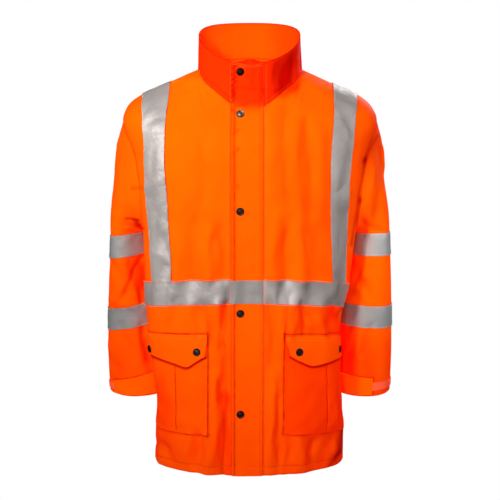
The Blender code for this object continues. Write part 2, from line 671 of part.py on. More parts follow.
def between(grid, row, col):
    """Points and normals at places between a grid's rows and columns."""
    points, out, rows, cols = grid
    i = np.clip(np.searchsorted(rows, row, side="right") - 1, 0, len(rows) - 2)
    j = np.clip(np.searchsorted(cols, col, side="right") - 1, 0, len(cols) - 2)
    a = ((row - rows[i]) / (rows[i + 1] - rows[i]))[..., None]
    b = ((col - cols[j]) / (cols[j + 1] - cols[j]))[..., None]
    return tuple(
        (g[i, j] * (1 - b) + g[i, j + 1] * b) * (1 - a) + (g[i + 1, j] * (1 - b) + g[i + 1, j + 1] * b) * a
        for g in (points, out)
    )


def pocket_flap(side, body, shares, cols):
    """The pocket flap's inner side: shares of the way down it, at these columns."""
    grid = body[side, "front"]
    column, _ = between(grid, grid[2], np.full(len(grid[2]), 6.0))
    steps = np.linalg.norm(np.diff(column, axis=0), axis=1)
    height = np.concatenate([[0], np.cumsum(steps)])
    spot = cols - POCKET_COLS[0]
    edge = table_at(FLAP_EDGE[side], spot)
    rise = table_at(FLAP_RISE, spot)
    lift = np.interp(shares, FLAP_LIFT["share"], FLAP_LIFT["lift"])
    slant = FLAP_SLANT[side] / (POCKET_COLUMNS[side][0] * POCKET_WIDTH)
    depth = FLAP_TOP[side] + np.outer(shares, edge - FLAP_TOP[side])
    top = np.interp(POCKET_FLAP_ROW, grid[2], height)
    row = np.interp(top - depth, height, grid[2])
    col = cols + np.outer(shares, np.clip(1 - spot, 0, 1)) * slant
    points, out = between(grid, row, col)
    return points + (np.outer(lift, rise))[..., None] * out, out


COLOURS = {
    "orange": ((1.0, 0.13, 0.005), 0.75, 0.0),
    "orange_trim": ((0.95, 0.11, 0.005), 0.7, 0.0),
    "tape": ((0.42, 0.41, 0.39), 0.45, 0.2),
    "zip": ((0.85, 0.10, 0.01), 0.6, 0.0),
    "loop": ((1.0, 0.38, 0.26), 0.9, 0.0),
    "snap": ((0.03, 0.028, 0.026), 0.3, 0.9),
}


def material(kind, name):
    colour, rough, metal = COLOURS[kind]
    mat = bpy.data.materials.new(name)
    mat.use_nodes = True
    shader = mat.node_tree.nodes["Principled BSDF"]
    shader.inputs["Base Color"].default_value = (*colour, 1)
    shader.inputs["Roughness"].default_value = rough
    shader.inputs["Metallic"].default_value = metal
    mat.diffuse_color = (*colour, 1)
    return mat


def put(name, mesh, kind):
    """An object in the jacket's collection, with its own material."""
    obj = bpy.data.objects.new(name, mesh)
    mesh.materials.clear()
    mesh.materials.append(material(kind, name))
    mesh.shade_smooth()
    JACKET.objects.link(obj)
    return obj


def cloth(name, points, out, wall, kind, outwards=True, ring=False):
    """A sheet of cloth lofted between its inner and outer side.

    points: rows by columns. out: the normals there, the same for both sides of
    a seam, so that the walls meet. The wall grows outwards or inwards.
    """
    rows, cols = points.shape[:2]
    deep = out * wall
    sheets = (points, points + deep) if outwards else (points - deep, points)
    across, up = points[:-1, 1:] - points[:-1, :-1], points[1:, :-1] - points[:-1, :-1]
    turned = (np.cross(across, up) * out[:-1, :-1]).sum() < 0
    build = bmesh.new()
    inner, outer = ([build.verts.new(p) for p in sheet.reshape(-1, 3)] for sheet in sheets)

    def face(*corners):
        build.faces.new(corners[::-1] if turned else corners)

    for r in range(rows - 1):
        for c in range(cols if ring else cols - 1):
            i, j = r * cols + c, r * cols + (c + 1) % cols
            face(outer[i], outer[j], outer[j + cols], outer[i + cols])
            face(inner[i], inner[i + cols], inner[j + cols], inner[j])
    last = (rows - 1) * cols
    for c in range(cols if ring else cols - 1):
        i, j = c, (c + 1) % cols
        face(inner[i], inner[j], outer[j], outer[i])
        face(outer[last + i], outer[last + j], inner[last + j], inner[last + i])
    for r in range(0 if ring else rows - 1):
        i, j = r * cols, r * cols + cols - 1
        face(inner[i], outer[i], outer[i + cols], inner[i + cols])
        face(inner[j + cols], outer[j + cols], outer[j], inner[j])
    mesh = bpy.data.meshes.new(name)
    build.to_mesh(mesh)
    build.free()
    obj = put(name, mesh, kind)
    mesh.set_sharp_from_angle(angle=math.radians(50))
    return obj


def make_body(body):
    for side in SIDES:
        points, out = body[side, "front"][:2]
        cloth("front_" + side, drawn_in(points), out, WALL, "orange", outwards=False)
    points, out = joined(flipped(body["right", "back"], 1), body["left", "back"], 1)
    cloth("back", drawn_in(points), out, WALL, "orange", outwards=False)


def make_sleeves(sleeves):
    for side, grid in sleeves.items():
        cloth("sleeve_" + side, drawn_in(grid[0], ring=True), grid[1], WALL, "orange",
              outwards=False, ring=True)
        for level, rings in SLEEVE_TAPES.items():
            rows = [SLEEVE_HEAD_ROWS + k for k in rings]
            points, out = block(grid, rows, (0, SLEEVE_COLUMNS), GAP)[:2]
            cloth(f"sleeve_tape_{level}_{side}", points, out, TAPE_WALL, "tape", ring=True)
        end = CUFF_TAB_END[side]
        rows = [SLEEVE_HEAD_ROWS + k for k in CUFF_TAB_RINGS]
        points, out = block(grid, rows, (end, ARMHOLE_ROWS), GAP)[:2]
        cloth("cuff_tab_" + side, drawn_in(points), out, TAB_WALL, "orange_trim")
        rows = [SLEEVE_HEAD_ROWS + k for k in CUFF_PATCH_RINGS]
        points, out = block(turned_round(grid), rows, (-CUFF_PATCH_PAST, end), GAP)[:2]
        cloth("cuff_patch_" + side, drawn_in(points), out, PATCH_WALL, "loop")


def make_closure(body, collar, plain):
    cloth("collar", *collar[:2], WALL, "orange", outwards=False)
    points, out = centre_strip(body, plain, 1, GAP)
    cloth("storm_flap", points, out, FLAP_WALL, "orange_trim")
    points, out = centre_strip(body, plain, 1, FLAP_WALL + 2 * GAP)
    rows = slice(WAIST_ROWS[0], WAIST_ROWS[1] + 1)
    cloth("waist_tape_flap", points[rows], out[rows], TAPE_WALL, "tape")
    points, out = centre_strip(body, plain, 0, 0.0)
    cloth("zip", drawn_in(points, GAP), out, WALL, "zip", outwards=False)
    return centre_strip(body, plain, 1, GAP + FLAP_WALL)


def make_tapes(body):
    for side in SIDES:
        front, back = body[side, "front"], body[side, "back"]
        points, out = block(front, WAIST_ROWS, (1, 11), GAP)[:2]
        cloth("waist_tape_" + side, drawn_in(points), out, TAPE_WALL, "tape")
        rows = (WAIST_ROWS[1], LAST_ROW)
        fall = flipped(block(back, rows, BRACE_COLS, GAP), 0)
        points, out = joined(block(front, rows, BRACE_COLS, GAP), fall, 0)
        cloth("brace_tape_" + side, drawn_in(points), out, TAPE_WALL, "tape")
    halves = [block(body[side, "back"], WAIST_ROWS, (0, 11), GAP) for side in SIDES]
    points, out = joined(flipped(halves[0], 1), halves[1], 1)
    cloth("waist_tape_back", drawn_in(points), out, TAPE_WALL, "tape")


def make_pockets(body):
    for side in SIDES:
        points, out = pocket(side, body)
        cloth("pocket_" + side, drawn_in(points), out, WALL, "orange")
        points, out = pocket_flap(side, body, FLAP_LIFT["share"][::-1], np.arange(3.0, 10.0))
        cloth("pocket_flap_" + side, drawn_in(points, 0.002), out, POCKET_FLAP_WALL, "orange_trim")


def snap_mesh():
    """A domed cap: half profile for the Screw, from the top down its outer side."""
    mesh = bpy.data.meshes.new("snap_profile")
    mesh.from_pydata([(x, 0, z) for x, z in SNAP_PROFILE], [(i, i + 1) for i in range(5)], [])
    return mesh


def make_snap(name, point, out):
    obj = put(name, snap_mesh(), "snap")
    screw = obj.modifiers.new("turn", "SCREW")
    screw.steps = screw.render_steps = 14
    screw.use_merge_vertices = True
    screw.merge_threshold = 0.00001
    obj.location = point + GAP * 1.5 * out
    obj.rotation_mode = "QUATERNION"
    obj.rotation_quaternion = Vector(out).to_track_quat("Z", "Y")
    return obj


def spot(points, out, x, z):
    """Point and normal of a sheet at x and z, in the front view."""
    best = None
    for r in range(points.shape[0] - 1):
        for c in range(points.shape[1] - 1):
            a, b, d = points[r, c], points[r, c + 1], points[r + 1, c]
            across, up = (b - a)[[0, 2]], (d - a)[[0, 2]]
            det = across[0] * up[1] - across[1] * up[0]
            if abs(det) < 1e-9:
                continue
            gap = np.array([x, z]) - a[[0, 2]]
            u = (gap[0] * up[1] - gap[1] * up[0]) / det
            v = (across[0] * gap[1] - across[1] * gap[0]) / det
            miss = max(-u, u - 1, -v, v - 1)
            if best is None or miss < best[0]:
                best = (miss, r, c, min(max(u, 0), 1), min(max(v, 0), 1))
    _, r, c, u, v = best
    a, b = points[r, c] * (1 - u) + points[r, c + 1] * u, points[r + 1, c] * (1 - u) + points[r + 1, c + 1] * u
    left, right = points[r, c] * (1 - v) + points[r + 1, c] * v, points[r, c + 1] * (1 - v) + points[r + 1, c + 1] * v
    face = np.cross(right - left, b - a)
    face /= np.linalg.norm(face)
    if np.dot(face, out[r, c]) < 0:
        face = -face
    return a * (1 - v) + b * v, face


def make_snaps(body, flap_face):
    for i, z in enumerate(SNAP_HEIGHTS):
        make_snap(f"snap_{i + 1}", *spot(*flap_face, SNAP_X, z))
    for side in SIDES:
        points, out = pocket_flap(side, body, FLAP_LIFT["share"][::-1], np.arange(3.0, 10.0))
        face = points + POCKET_FLAP_WALL * out
        for place, (column, share) in POCKET_SNAPS[side].items():
            middle = face[-1, column] * (1 - share) + face[0, column] * share
            make_snap(f"snap_pocket_{side}_{place}", *spot(face, out, middle[0], middle[2]))


def coarse(pad, flip):
    """A grid of the padded points: points, normals, row and column numbers."""
    grid = pad[1:-1, 1:-1]
    return grid, normals(pad, flip), np.arange(len(grid)), np.arange(grid.shape[1])


def build():
    for obj in list(bpy.data.objects):
        bpy.data.objects.remove(obj, do_unlink=True)
    bpy.context.scene.collection.children.link(JACKET)
    pads = body_pads()
    body = {key: coarse(pad, facing(*key)) for key, pad in pads.items()}
    sleeves = {side: coarse(sleeve_pad(side, pads), SIDES[side]) for side in SIDES}
    collar, plain = (coarse(collar_pad(pads, arch), -1) for arch in (COLLAR_ARCH, FLAP_DIP))
    make_body(body)
    make_sleeves(sleeves)
    flap_face = make_closure(body, collar, plain)
    make_tapes(body)
    make_pockets(body)
    make_snaps(body, flap_face)


JACKET = bpy.data.collections.new("hi_vis_jacket")
build()
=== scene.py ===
"""Looks of the hi-vis work jacket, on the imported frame.

The form is the same as in the part's source, on a finer grid: the same tables
and level sections, smoothed between their rows and columns, with creases,
seams and stitching added. Metres, +Z up, the front faces -Y.
"""

import math

import bpy
import numpy as np
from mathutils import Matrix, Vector


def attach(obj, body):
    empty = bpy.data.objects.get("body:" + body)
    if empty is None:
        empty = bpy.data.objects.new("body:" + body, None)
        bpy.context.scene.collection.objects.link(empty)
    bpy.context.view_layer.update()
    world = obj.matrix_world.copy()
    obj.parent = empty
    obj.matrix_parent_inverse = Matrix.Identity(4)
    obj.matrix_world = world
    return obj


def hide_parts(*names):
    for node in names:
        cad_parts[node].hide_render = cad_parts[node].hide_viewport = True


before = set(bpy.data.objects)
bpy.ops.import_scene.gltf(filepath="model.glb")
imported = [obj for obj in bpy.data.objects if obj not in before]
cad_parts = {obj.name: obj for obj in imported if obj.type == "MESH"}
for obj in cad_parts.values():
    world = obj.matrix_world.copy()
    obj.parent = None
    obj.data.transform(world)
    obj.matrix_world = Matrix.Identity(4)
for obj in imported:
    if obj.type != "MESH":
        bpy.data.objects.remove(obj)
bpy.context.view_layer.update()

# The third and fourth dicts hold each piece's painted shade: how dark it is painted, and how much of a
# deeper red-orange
PIECES, FINISHES, SHADE_PAINT, RED_SHADE = {}, {}, {}, {}
LOOKS = bpy.data.collections.new("looks")
bpy.context.scene.collection.children.link(LOOKS)

# The camera
TILT, DISTANCE, TARGET = math.radians(8), 2.489, -0.4012
# Its sensor's width, and its focal length as a share of that
SENSOR, FOCAL = 36, 1106 / 500
FLOOR_Z, FLOOR_RADIUS = -1.5, 1.15
WORLD_LIGHT = 0.02
# Each light's name, place, what it is aimed at, its size, spread in degrees and power
LIGHTS = (
    ("key", (-1.3, -2.0, 0.8), (-0.05, 0, -0.15), 0.4, 45, 5.2),
    ("top", (0.8, -0.9, 1.3), (0, 0, -0.2), 0.8, 180, 4),
    ("front", (-0.4, -2.5, -0.2), (-0.05, 0, -0.5), 0.8, 60, 2.0),
    ("right", (1.7, -1.4, 0.0), (0.37, 0, -0.42), 0.4, 22, 0.55),
    ("neck", (0.35, -0.25, 0.75), (-0.09, 0, 0.04), 0.1, 14, 0.05),
    ("back", (1.3, 2.0, 1.0), (0, 0, -0.4), 0.9, 180, 42),
)

# Driving sizes
SIDES = {"right": -1, "left": 1}
WALL = 0.0016
GAP = 0.0003
# Places on the grid that are nearer than this are the same
SAME = 1e-6
TAPE_WALL = 0.0009
FLAP_WALL = 0.0022
POCKET_FLAP_WALL = 0.0020
ZIP_HALF = 0.004
STORM_FLAP_EDGE = {"right": 0.0397, "left": 0.0268}
NECK_HALF, NECK_FRONT, NECK_BACK = 0.1149, 0.0957, 0.0814
RIM_HALF, RIM_FRONT, RIM_BACK = 0.1115, 0.0840, 0.0785
COLLAR_ROWS = 4
COLLAR_HALF = 10
COLLAR_ARCH = 0.0095
FLAP_DIP = -0.0035
SHOULDER_TIP_Z = -0.110
UNDERARM_Z = -0.345
ARMHOLE_ROWS = 10
ARMHOLE_FRONT, ARMHOLE_BACK = 0.074, 0.082
SLEEVE_HEAD_ROWS = 5
POCKET_WIDTH = 0.180
POCKET_EDGE = {"right": 0.091, "left": 0.0745}
# Shares of the pocket's width at its columns: snap, the flap's point, pleat,
# two between, outer edge
POCKET_COLUMNS = {
    "right": (.125, .247, .40, .59, .77, 1),
    "left": (.17, .345, .57, .71, .84, 1),
}
TAB_WALL, PATCH_WALL = 0.0022, 0.0012
SNAP_X = -0.0205


def table(names, *rows):
    """A small table: one array for each named column."""
    return dict(zip(names.split(), np.array(rows, float).T))


# The body's level sections. right, left: half widths. front, back: where the
# centre lines are. mid_right, mid_left: how far forward each side is widest.
# sq_: how square each quarter is (2 is an ellipse).
BODY = table(
    "z       right  left   front   back   mid_right mid_left sq_right sq_left sq_back",
    (-0.8755, .2160, .2130, -.1530, .1400, -.020, -.010, 2.3, 2.2, 2.1),
    (-0.8000, .2135, .2125, -.1520, .1370, -.025, -.010, 2.5, 2.2, 2.0),
    (-0.7300, .2070, .2085, -.1490, .1330, -.030, -.012, 2.8, 2.2, 2.0),
    (-0.6650, .2150, .2020, -.1455, .1280, -.038, -.014, 3.0, 2.2, 1.9),
    (-0.5900, .2245, .2010, -.1420, .1230, -.040, -.015, 3.2, 2.2, 1.9),
    (-0.5300, .2290, .2085, -.1390, .1200, -.040, -.015, 3.3, 2.2, 1.9),
    (-0.4700, .2322, .2230, -.1375, .1200, -.040, -.015, 3.4, 2.2, 1.9),
    (-0.4000, .2330, .2300, -.1395, .1240, -.038, -.014, 3.4, 2.3, 1.9),
    (-0.3450, .2365, .2365, -.1415, .1290, -.020, -.010, 3.3, 2.4, 2.0),
    (-0.2780, .2470, .2500, -.1430, .1345, -.006, -.006, 3.1, 2.6, 2.3),
    (-0.2220, .2547, .2600, -.1405, .1360, 0.000, 0.000, 3.2, 2.8, 2.5),
    (-0.1760, .2610, .2650, -.1350, .1340, 0.000, 0.000, 3.2, 3.0, 2.6),
    (-0.1500, .2702, .2710, -.1290, .1310, 0.000, 0.000, 3.2, 3.1, 2.6),
    (-0.1100, .2805, .2805, -.1090, .1250, 0.000, 0.000, 3.2, 3.1, 2.6),
    (-0.0862, .2725, .2700, -.0957, .1205, 0.000, 0.000, 3.0, 2.9, 2.5),
    (-0.0623, .2545, .2517, -.0850, .1150, 0.000, 0.000, 2.4, 2.4, 2.3),
    (-0.0492, .2283, .2258, -.0790, .1115, 0.000, 0.000, 2.0, 2.0, 2.1),
    (-0.0361, .1984, .1957, -.0725, .1070, 0.000, 0.000, 1.7, 1.7, 2.0),
    (-0.0230, .1663, .1638, -.0680, .1020, 0.000, 0.000, 1.6, 1.6, 1.9),
    (-0.0100, .1321, .1306, -.0665, .0960, 0.000, 0.000, 1.6, 1.6, 1.9),
    (0.0000, .1149, .1149, -.0660, .0910, 0.000, 0.000, 1.8, 1.8, 2.0),
    (0.0144, .1040, .1040, -.0640, .0814, 0.000, 0.000, 2.0, 2.0, 2.0),
    (0.0400, .0900, .0900, -.0600, .0600, 0.000, 0.000, 2.0, 2.0, 2.0),
)
# Heights of the grid's rows at the centre line, from the hem to the underarm
LEVELS = (
    -.8755, -.8555, -.820, -.7825, -.750, -.715, -.680, -.648, -.6175, -.592,
    -.5625, -.532, -.4972, -.472, -.447, -.413, -.379, UNDERARM_Z,
)
LAST_ROW = len(LEVELS) - 1 + ARMHOLE_ROWS
# The side seam's and armhole's column, and the neckline's last one
LAST_COL = 11
NECK_COLUMN = 5
# The back's columns below the waist, from the centre line, and the columns inside
# the brace tapes above it
BACK_COLUMNS = (0, .026, .052, .078, .104, .130, .155, .180, .205)
CHEST_COLUMNS = (.104, .128)
# Where the first columns meet the neckline, in degrees round from the centre line
FRONT_NECK_ANGLES = (40, 57, 73, 90)
BACK_NECK_ANGLES = (0, 18, 36, 54, 72, 90)
POCKET_ROWS = (3, 9)
POCKET_COLS = (3, 9)
POCKET_FLAP_ROW = 10
WAIST_ROWS = (12, 14)
BRACE_COLS = (6, 8)
# How much lower a row runs at the side seam than at the centre line
DROP = table(
    "z       right  left",
    (-.8755, -.003, .000),
    (-.7825, .008, .027),
    (-.5625, .011, .028),
    (-.4972, .021, .034),
    (-.4470, .021, .034),
    (-.3450, .000, .000),
)
# Edges of the brace tapes, as distances from the centre line
BRACE_FRONT = table(
    "z      in_right out_right in_left out_left",
    (-.469, .1671, .2108, .1803, .2109),
    (-.360, .1712, .2165, .1738, .2115),
    (-.270, .1760, .2230, .1712, .2118),
    (-.190, .1820, .2263, .1722, .2175),
    (-.145, .1815, .2275, .1752, .2218),
    (-.090, .1785, .2310, .1804, .2276),
    (-.050, .1750, .2359, .1813, .2344),
)
BRACE_BACK = table(
    "z      in_right out_right in_left out_left",
    (-.469, .1480, .1930, .1480, .1930),
    (-.345, .1520, .1965, .1520, .1965),
    (-.200, .1600, .2060, .1600, .2060),
    (-.120, .1680, .2170, .1690, .2170),
    (-.050, .1750, .2359, .1813, .2344),
)
# Rings of the sleeves. outer: the sleeve's outermost x. half: half width,
# deep: half depth, y: the ring's middle, turn: how far the ring is turned
# about Z, in degrees. tilt_: drop towards the outside, per metre.
SLEEVE = table(
    "z      outer  half   deep   y     turn tilt_right tilt_left sag",
    (-.3615, .3138, .0400, .0800, .045, 24, .12, -.04, .000),
    (-.3865, .3157, .0420, .0780, .045, 24, .13, -.04, .000),
    (-.4115, .3176, .0445, .0760, .045, 24, .14, -.03, .000),
    (-.4560, .3208, .0495, .0730, .046, 24, .15, -.01, .000),
    (-.4920, .3232, .0540, .0700, .047, 24, .17, .02, .000),
    (-.5265, .3252, .0570, .0670, .048, 24, .18, .04, .000),
    (-.5520, .3264, .0585, .0650, .049, 24, .18, .04, .000),
    (-.5775, .3274, .0600, .0620, .050, 23, .19, .05, .000),
    (-.6080, .3284, .0615, .0580, .050, 22, .20, .06, .000),
    (-.6400, .3288, .0625, .0540, .050, 21, .20, .08, .001),
    (-.6700, .3288, .0630, .0500, .050, 20, .22, .11, .002),
    (-.6940, .3284, .0632, .0460, .050, 18, .24, .11, .003),
    (-.7040, .3284, .0632, .0450, .050, 18, .18, .08, .004),
    (-.7230, .3278, .0630, .0440, .050, 18, .06, .02, .005),
    (-.7330, .3276, .0625, .0435, .050, 18, .00, -.01, .006),
    (-.7365, .3274, .0620, .0430, .050, 18, -.03, -.02, .006),
)
# How far the sleeve's head stands out between the armhole and the first ring
SLEEVE_HEAD = {"right": 0.0085, "left": 0.0035}
SLEEVE_TAPES = {"upper": (0, 2), "lower": (5, 7)}
CUFF_TAB_RINGS = (11, 14)
CUFF_PATCH_RINGS = (12, 13)
CUFF_PATCH_PAST = 2
CUFF_TAB_END = {"right": 3, "left": 5}
SLEEVE_COLUMNS = 2 * ARMHOLE_ROWS
# Large soft folds: a line from (x0, z0) to (x1, z1), its half breadth, and its height
# (troughs are negative).
FOLDS = {
    "front": (
        (-0.058, -0.54, -0.052, -0.875, 0.012, -0.005), (-0.092, -0.87, -0.098, -0.7, 0.022, 0.004),
        (-0.128, -0.86, -0.12, -0.74, 0.018, -0.004), (0.1, -0.52, 0.093, -0.66, 0.014, 0.0035),
        (0.06, -0.56, 0.068, -0.86, 0.016, -0.003), (0.165, -0.865, 0.19, -0.8, 0.018, -0.006),
        (0.06, -0.33, 0.048, -0.52, 0.016, 0.003), (0.085, -0.35, 0.075, -0.52, 0.014, -0.003),
        (-0.08, -0.36, -0.09, -0.52, 0.014, 0.003), (-0.13, -0.38, -0.12, -0.54, 0.016, -0.0035),
        (0.125, -0.15, 0.14, -0.33, 0.022, -0.003),
    ),
    "back": (
        (-0.1, -0.22, -0.06, -0.46, 0.026, -0.005), (0.09, -0.2, 0.07, -0.43, 0.028, -0.0045),
        (-0.05, -0.54, -0.07, -0.875, 0.024, 0.006), (0.06, -0.56, 0.05, -0.875, 0.024, -0.006),
        (0.13, -0.6, 0.14, -0.875, 0.022, 0.005), (-0.14, -0.62, -0.13, -0.875, 0.022, -0.005),
        (0, -0.3, 0.01, -0.52, 0.02, 0.0035),
    ),
}
POCKET_DEPTH = 0.0078
# How far the pocket's outside stands off the panel: shares of its depth up its
# rows and across its columns, with the pleat's groove in the middle
POCKET_UP = (0.82, 1.00, 0.95, 0.85, 0.70, 0.55, 0.40)
POCKET_ACROSS = (0.0, 0.90, 1.00, 0.62, 0.95, 0.60, 0.0)
# The bottom seam lies this far behind the bottom edge
POCKET_UNDER = 0.004
# The pocket flap at its columns: how far below its top seam the lower edge is,
# and how much of the lift off the pocket there is
FLAP_EDGE = {
    "right": (0.049, 0.0600, 0.072, 0.0640, 0.0560, 0.0490, 0.0440),
    "left": (0.047, 0.0585, 0.070, 0.0625, 0.0580, 0.0555, 0.0530),
}
FLAP_RISE = (1.0, 1.0, 1.0, 1.0, 0.9, 0.62, 0.40)
FLAP_LIFT = table(
    "share lift",
    (0, .0006),
    (.4, .0052),
    (.7, .0064),
    (1, .0078),
)
FLAP_TOP = {"right": 0.0, "left": 0.0045}
FLAP_SLANT = {"right": 0.0045, "left": 0.0100}
SNAP_HEIGHTS = (-0.007, -0.0954, -0.2992, -0.5194, -0.7383)
# Column and share of the way down for each pocket's two snaps
POCKET_SNAPS = {
    "right": {"inner": (1, 0.64), "outer": (5, 0.76)},
    "left": {"inner": (1, 0.62), "outer": (5, 0.60)},
}
# The dent in the collar's front: its middle in x and z, its half breadth, how tall
# and how deep it is
COLLAR_DENT = (0.066, -0.020, 0.017, 0.0408, -0.0078)


def curve(xs, ys, x):
    """Smooth curve through the points of a table, without overshoot."""
    step = np.diff(ys) / np.diff(xs)
    same = step[:-1] * step[1:] > 0
    total = np.where(same, step[:-1] + step[1:], 1.0)
    slope = np.empty(len(xs))
    slope[0], slope[-1] = step[0], step[-1]
    slope[1:-1] = np.where(same, 2 * step[:-1] * step[1:] / total, 0.0)
    i = np.clip(np.searchsorted(xs, x) - 1, 0, len(xs) - 2)
    width = xs[i + 1] - xs[i]
    t = np.clip((x - xs[i]) / width, 0, 1)
    rise = (3 - 2 * t) * t * t
    lead = t * (1 - t) * width
    return ys[i] * (1 - rise) + ys[i + 1] * rise + lead * ((1 - t) * slope[i] - t * slope[i + 1])


def at(tab, name, z):
    """One column of a table at height z."""
    return curve(tab["z"], tab[name], z)


def ease(t):
    """From 0 to 1 with level ends."""
    t = np.clip(t, 0, 1)
    return t * t * (3 - 2 * t)


def blend(a, b, t):
    """Between a and b, this share of the way."""
    return a * (1 - t) + b * t


def unit(v):
    """Vectors brought to length 1."""
    return v / np.linalg.norm(v, axis=-1, keepdims=True)


def run_along(points, axis=0):
    """How far each point is along its line from the line's first one."""
    steps = np.linalg.norm(np.diff(points, axis=axis), axis=-1)
    return np.concatenate([np.zeros_like(np.take(steps, [0], axis)), np.cumsum(steps, axis)], axis)


def read_at(places, s, values):
    """Points or normals at places along a line whose own points are at s."""
    return np.stack([np.interp(places, s, values[:, k]) for k in range(3)], -1)


def within(values, low, high):
    """Which of the values lie between low and high, or on them."""
    return (values > low - SAME) & (values < high + SAME)


def beside(x, z, x0, z0, x1, z1):
    """Places seen from a line: along it, off it, past its ends, and the line's length."""
    dx, dz = x1 - x0, z1 - z0
    length = math.hypot(dx, dz)
    along = ((x - x0) * dx + (z - z0) * dz) / length
    off = ((x - x0) * dz - (z - z0) * dx) / length
    return along, off, np.maximum(np.maximum(-along, along - length), 0), length


def quarter_at(side, edge, z):
    """A section's half width, where it is widest, its depth from there and how square it is."""
    half, mid = at(BODY, side, z), at(BODY, "mid_" + side, z)
    square = at(BODY, "sq_" + side if edge == "front" else "sq_back", z)
    return half, mid, at(BODY, edge, z) - mid, square


def round_at(side, edge, angle, z):
    """x and y at these angles: 0 at the centre line, a quarter turn at the side."""
    half, mid, deep, square = quarter_at(side, edge, z)
    x = half * np.sin(angle) ** (2 / square)
    return x, mid + deep * np.abs(np.cos(angle)) ** (2 / square)


def section(side, z):
    """Half of the section at height z, from the front centre to the back one.

    Returns x, y and the distance s along it, and the index of the widest point.
    """
    turn = ease(np.linspace(0, 1, 121)) * math.pi / 2
    front, back = (np.array(round_at(side, edge, turn, z)) for edge in ("front", "back"))
    x, y = np.concatenate([front, back[:, -2::-1]], axis=1)
    s = np.concatenate([[0], np.cumsum(np.hypot(np.diff(x), np.diff(y)))])
    return x, y, s, len(turn) - 1


def surface_y(side, edge, x, z):
    """Where the front or back quarter of the body is at x and z."""
    half, mid, deep, square = quarter_at(side, edge, z)
    rest = np.clip(1 - np.clip(x / half, 0, 1) ** square, 0, 1)
    return mid + deep * rest ** (1 / square)


def surface_x(side, edge, y, z):
    """How wide the front or back quarter of the body is at y and z."""
    half, mid, deep, square = quarter_at(side, edge, z)
    part = np.clip((y - mid) / deep, 0, 1)
    return half * (1 - part ** square) ** (1 / square)


def section_angle(side, edge, points):
    """How far round each point is: 0 at the centre line, a quarter turn at the side."""
    half, mid, deep, square = quarter_at(side, edge, points[:, 2])
    x = np.clip(points[:, 0] / half, 0, 1) ** (square / 2)
    y = np.clip((points[:, 1] - mid) / deep, 0, 1) ** (square / 2)
    return np.arctan2(x, y)


def on_section(side, edge, angle, z):
    """The body's points at these angles and heights."""
    return np.array([*round_at(side, edge, angle, z), z]).T


SHOULDER_Z = np.linspace(SHOULDER_TIP_Z, 0.0, 400)


def neck_point(side, theta):
    """Where the neck opening meets the body, theta round from the front centre."""
    edge, reach = ("front", -NECK_FRONT) if theta < math.pi / 2 else ("back", -NECK_BACK)
    x, y = NECK_HALF * math.sin(theta), reach * math.cos(theta)
    z = np.linspace(-0.12, 0.04, 500)
    half, mid, deep, square = quarter_at(side, edge, z)
    depth = np.clip((y - mid) / deep, 0, None)
    inside = (x / half) ** square + depth ** square - 1
    return np.array([x, y, float(np.interp(0, inside, z))])


def resample(points, count):
    """The polyline's points at equal distances, count steps."""
    s = run_along(points)
    return read_at(np.linspace(0, s[-1], count + 1), s, points)


def rising(side, edge, x_of_z, z_low, z_high):
    """A line up the body from z_low to z_high, with x given at each height."""
    t = np.linspace(0, 1, 80)
    z = z_low + (z_high - z_low) * (1 - (1 - t) ** 2)
    x = x_of_z(z)
    return np.array([x, surface_y(side, edge, x, z), z]).T


def armhole(side, edge):
    """Front or back half of the armhole, from the underarm to the shoulder tip."""
    turn = np.linspace(math.pi, 0, 120)
    middle = (SHOULDER_TIP_Z + UNDERARM_Z) / 2
    z = middle + (SHOULDER_TIP_Z - middle) * np.cos(turn)
    reach = -ARMHOLE_FRONT if edge == "front" else ARMHOLE_BACK
    y = at(BODY, "mid_" + side, z) + reach * np.sin(turn)
    return np.array([surface_x(side, edge, y, z), y, z]).T


def seam_distance(edge, z, s, widest):
    """How far along the section the side seam is from the centre line."""
    front = s[widest] + 0.02 * ease((UNDERARM_Z - z) / 0.15)
    return front if edge == "front" else s[-1] - front


def columns(side, edge, z, line):
    """Distances from the centre line, along the section, of the 12 columns."""
    x, _, s, widest = line
    brace = BRACE_FRONT if edge == "front" else BRACE_BACK

    def along(distance):
        if edge == "front":
            return np.interp(distance, x[: widest + 1], s[: widest + 1])
        return s[-1] - np.interp(distance, x[: widest - 1 : -1], s[: widest - 1 : -1])

    seam = seam_distance(edge, z, s, widest)
    inner, outer = along(at(brace, "in_" + side, z)), along(at(brace, "out_" + side, z))
    if edge == "front":
        pocket, flap = POCKET_EDGE[side], STORM_FLAP_EDGE[side]
        first = [ZIP_HALF, flap, (flap + pocket) / 2, pocket]
        low = pocket + POCKET_WIDTH * np.array(POCKET_COLUMNS[side])
        chest = first[:3] + [pocket + .004]
    else:
        first = chest = list(BACK_COLUMNS[:4])
        low = np.array([*BACK_COLUMNS[4:], (BACK_COLUMNS[-1] * 2 + seam) / 3])
    lower = np.concatenate([first, low, [(low[-1] + seam) / 2, seam]])
    rest = outer + (seam - outer) * np.array([1, 2, 3]) / 3
    upper = np.concatenate([chest, CHEST_COLUMNS, [inner, (inner + outer) / 2, outer], rest])
    low_z, high_z = LEVELS[POCKET_FLAP_ROW], LEVELS[WAIST_ROWS[1]]
    return lower + (upper - lower) * ease((z - low_z) / (high_z - low_z)), seam


def level_rows(side, edge):
    """The grid's rows from the hem to the underarm."""
    rows = []
    for z in LEVELS:
        places, seam = columns(side, edge, z, section(side, z))
        row = []
        for place in places:
            share = (place / seam) ** 2
            low = z - at(DROP, side, z) * share
            x, y, s, widest = section(side, low)
            here = place + share * (seam_distance(edge, z, s, widest) - seam)
            if edge == "back":
                here = s[-1] - here
            row.append((np.interp(here, s, x), np.interp(here, s, y), low))
        rows.append(row)
    return np.array(rows)


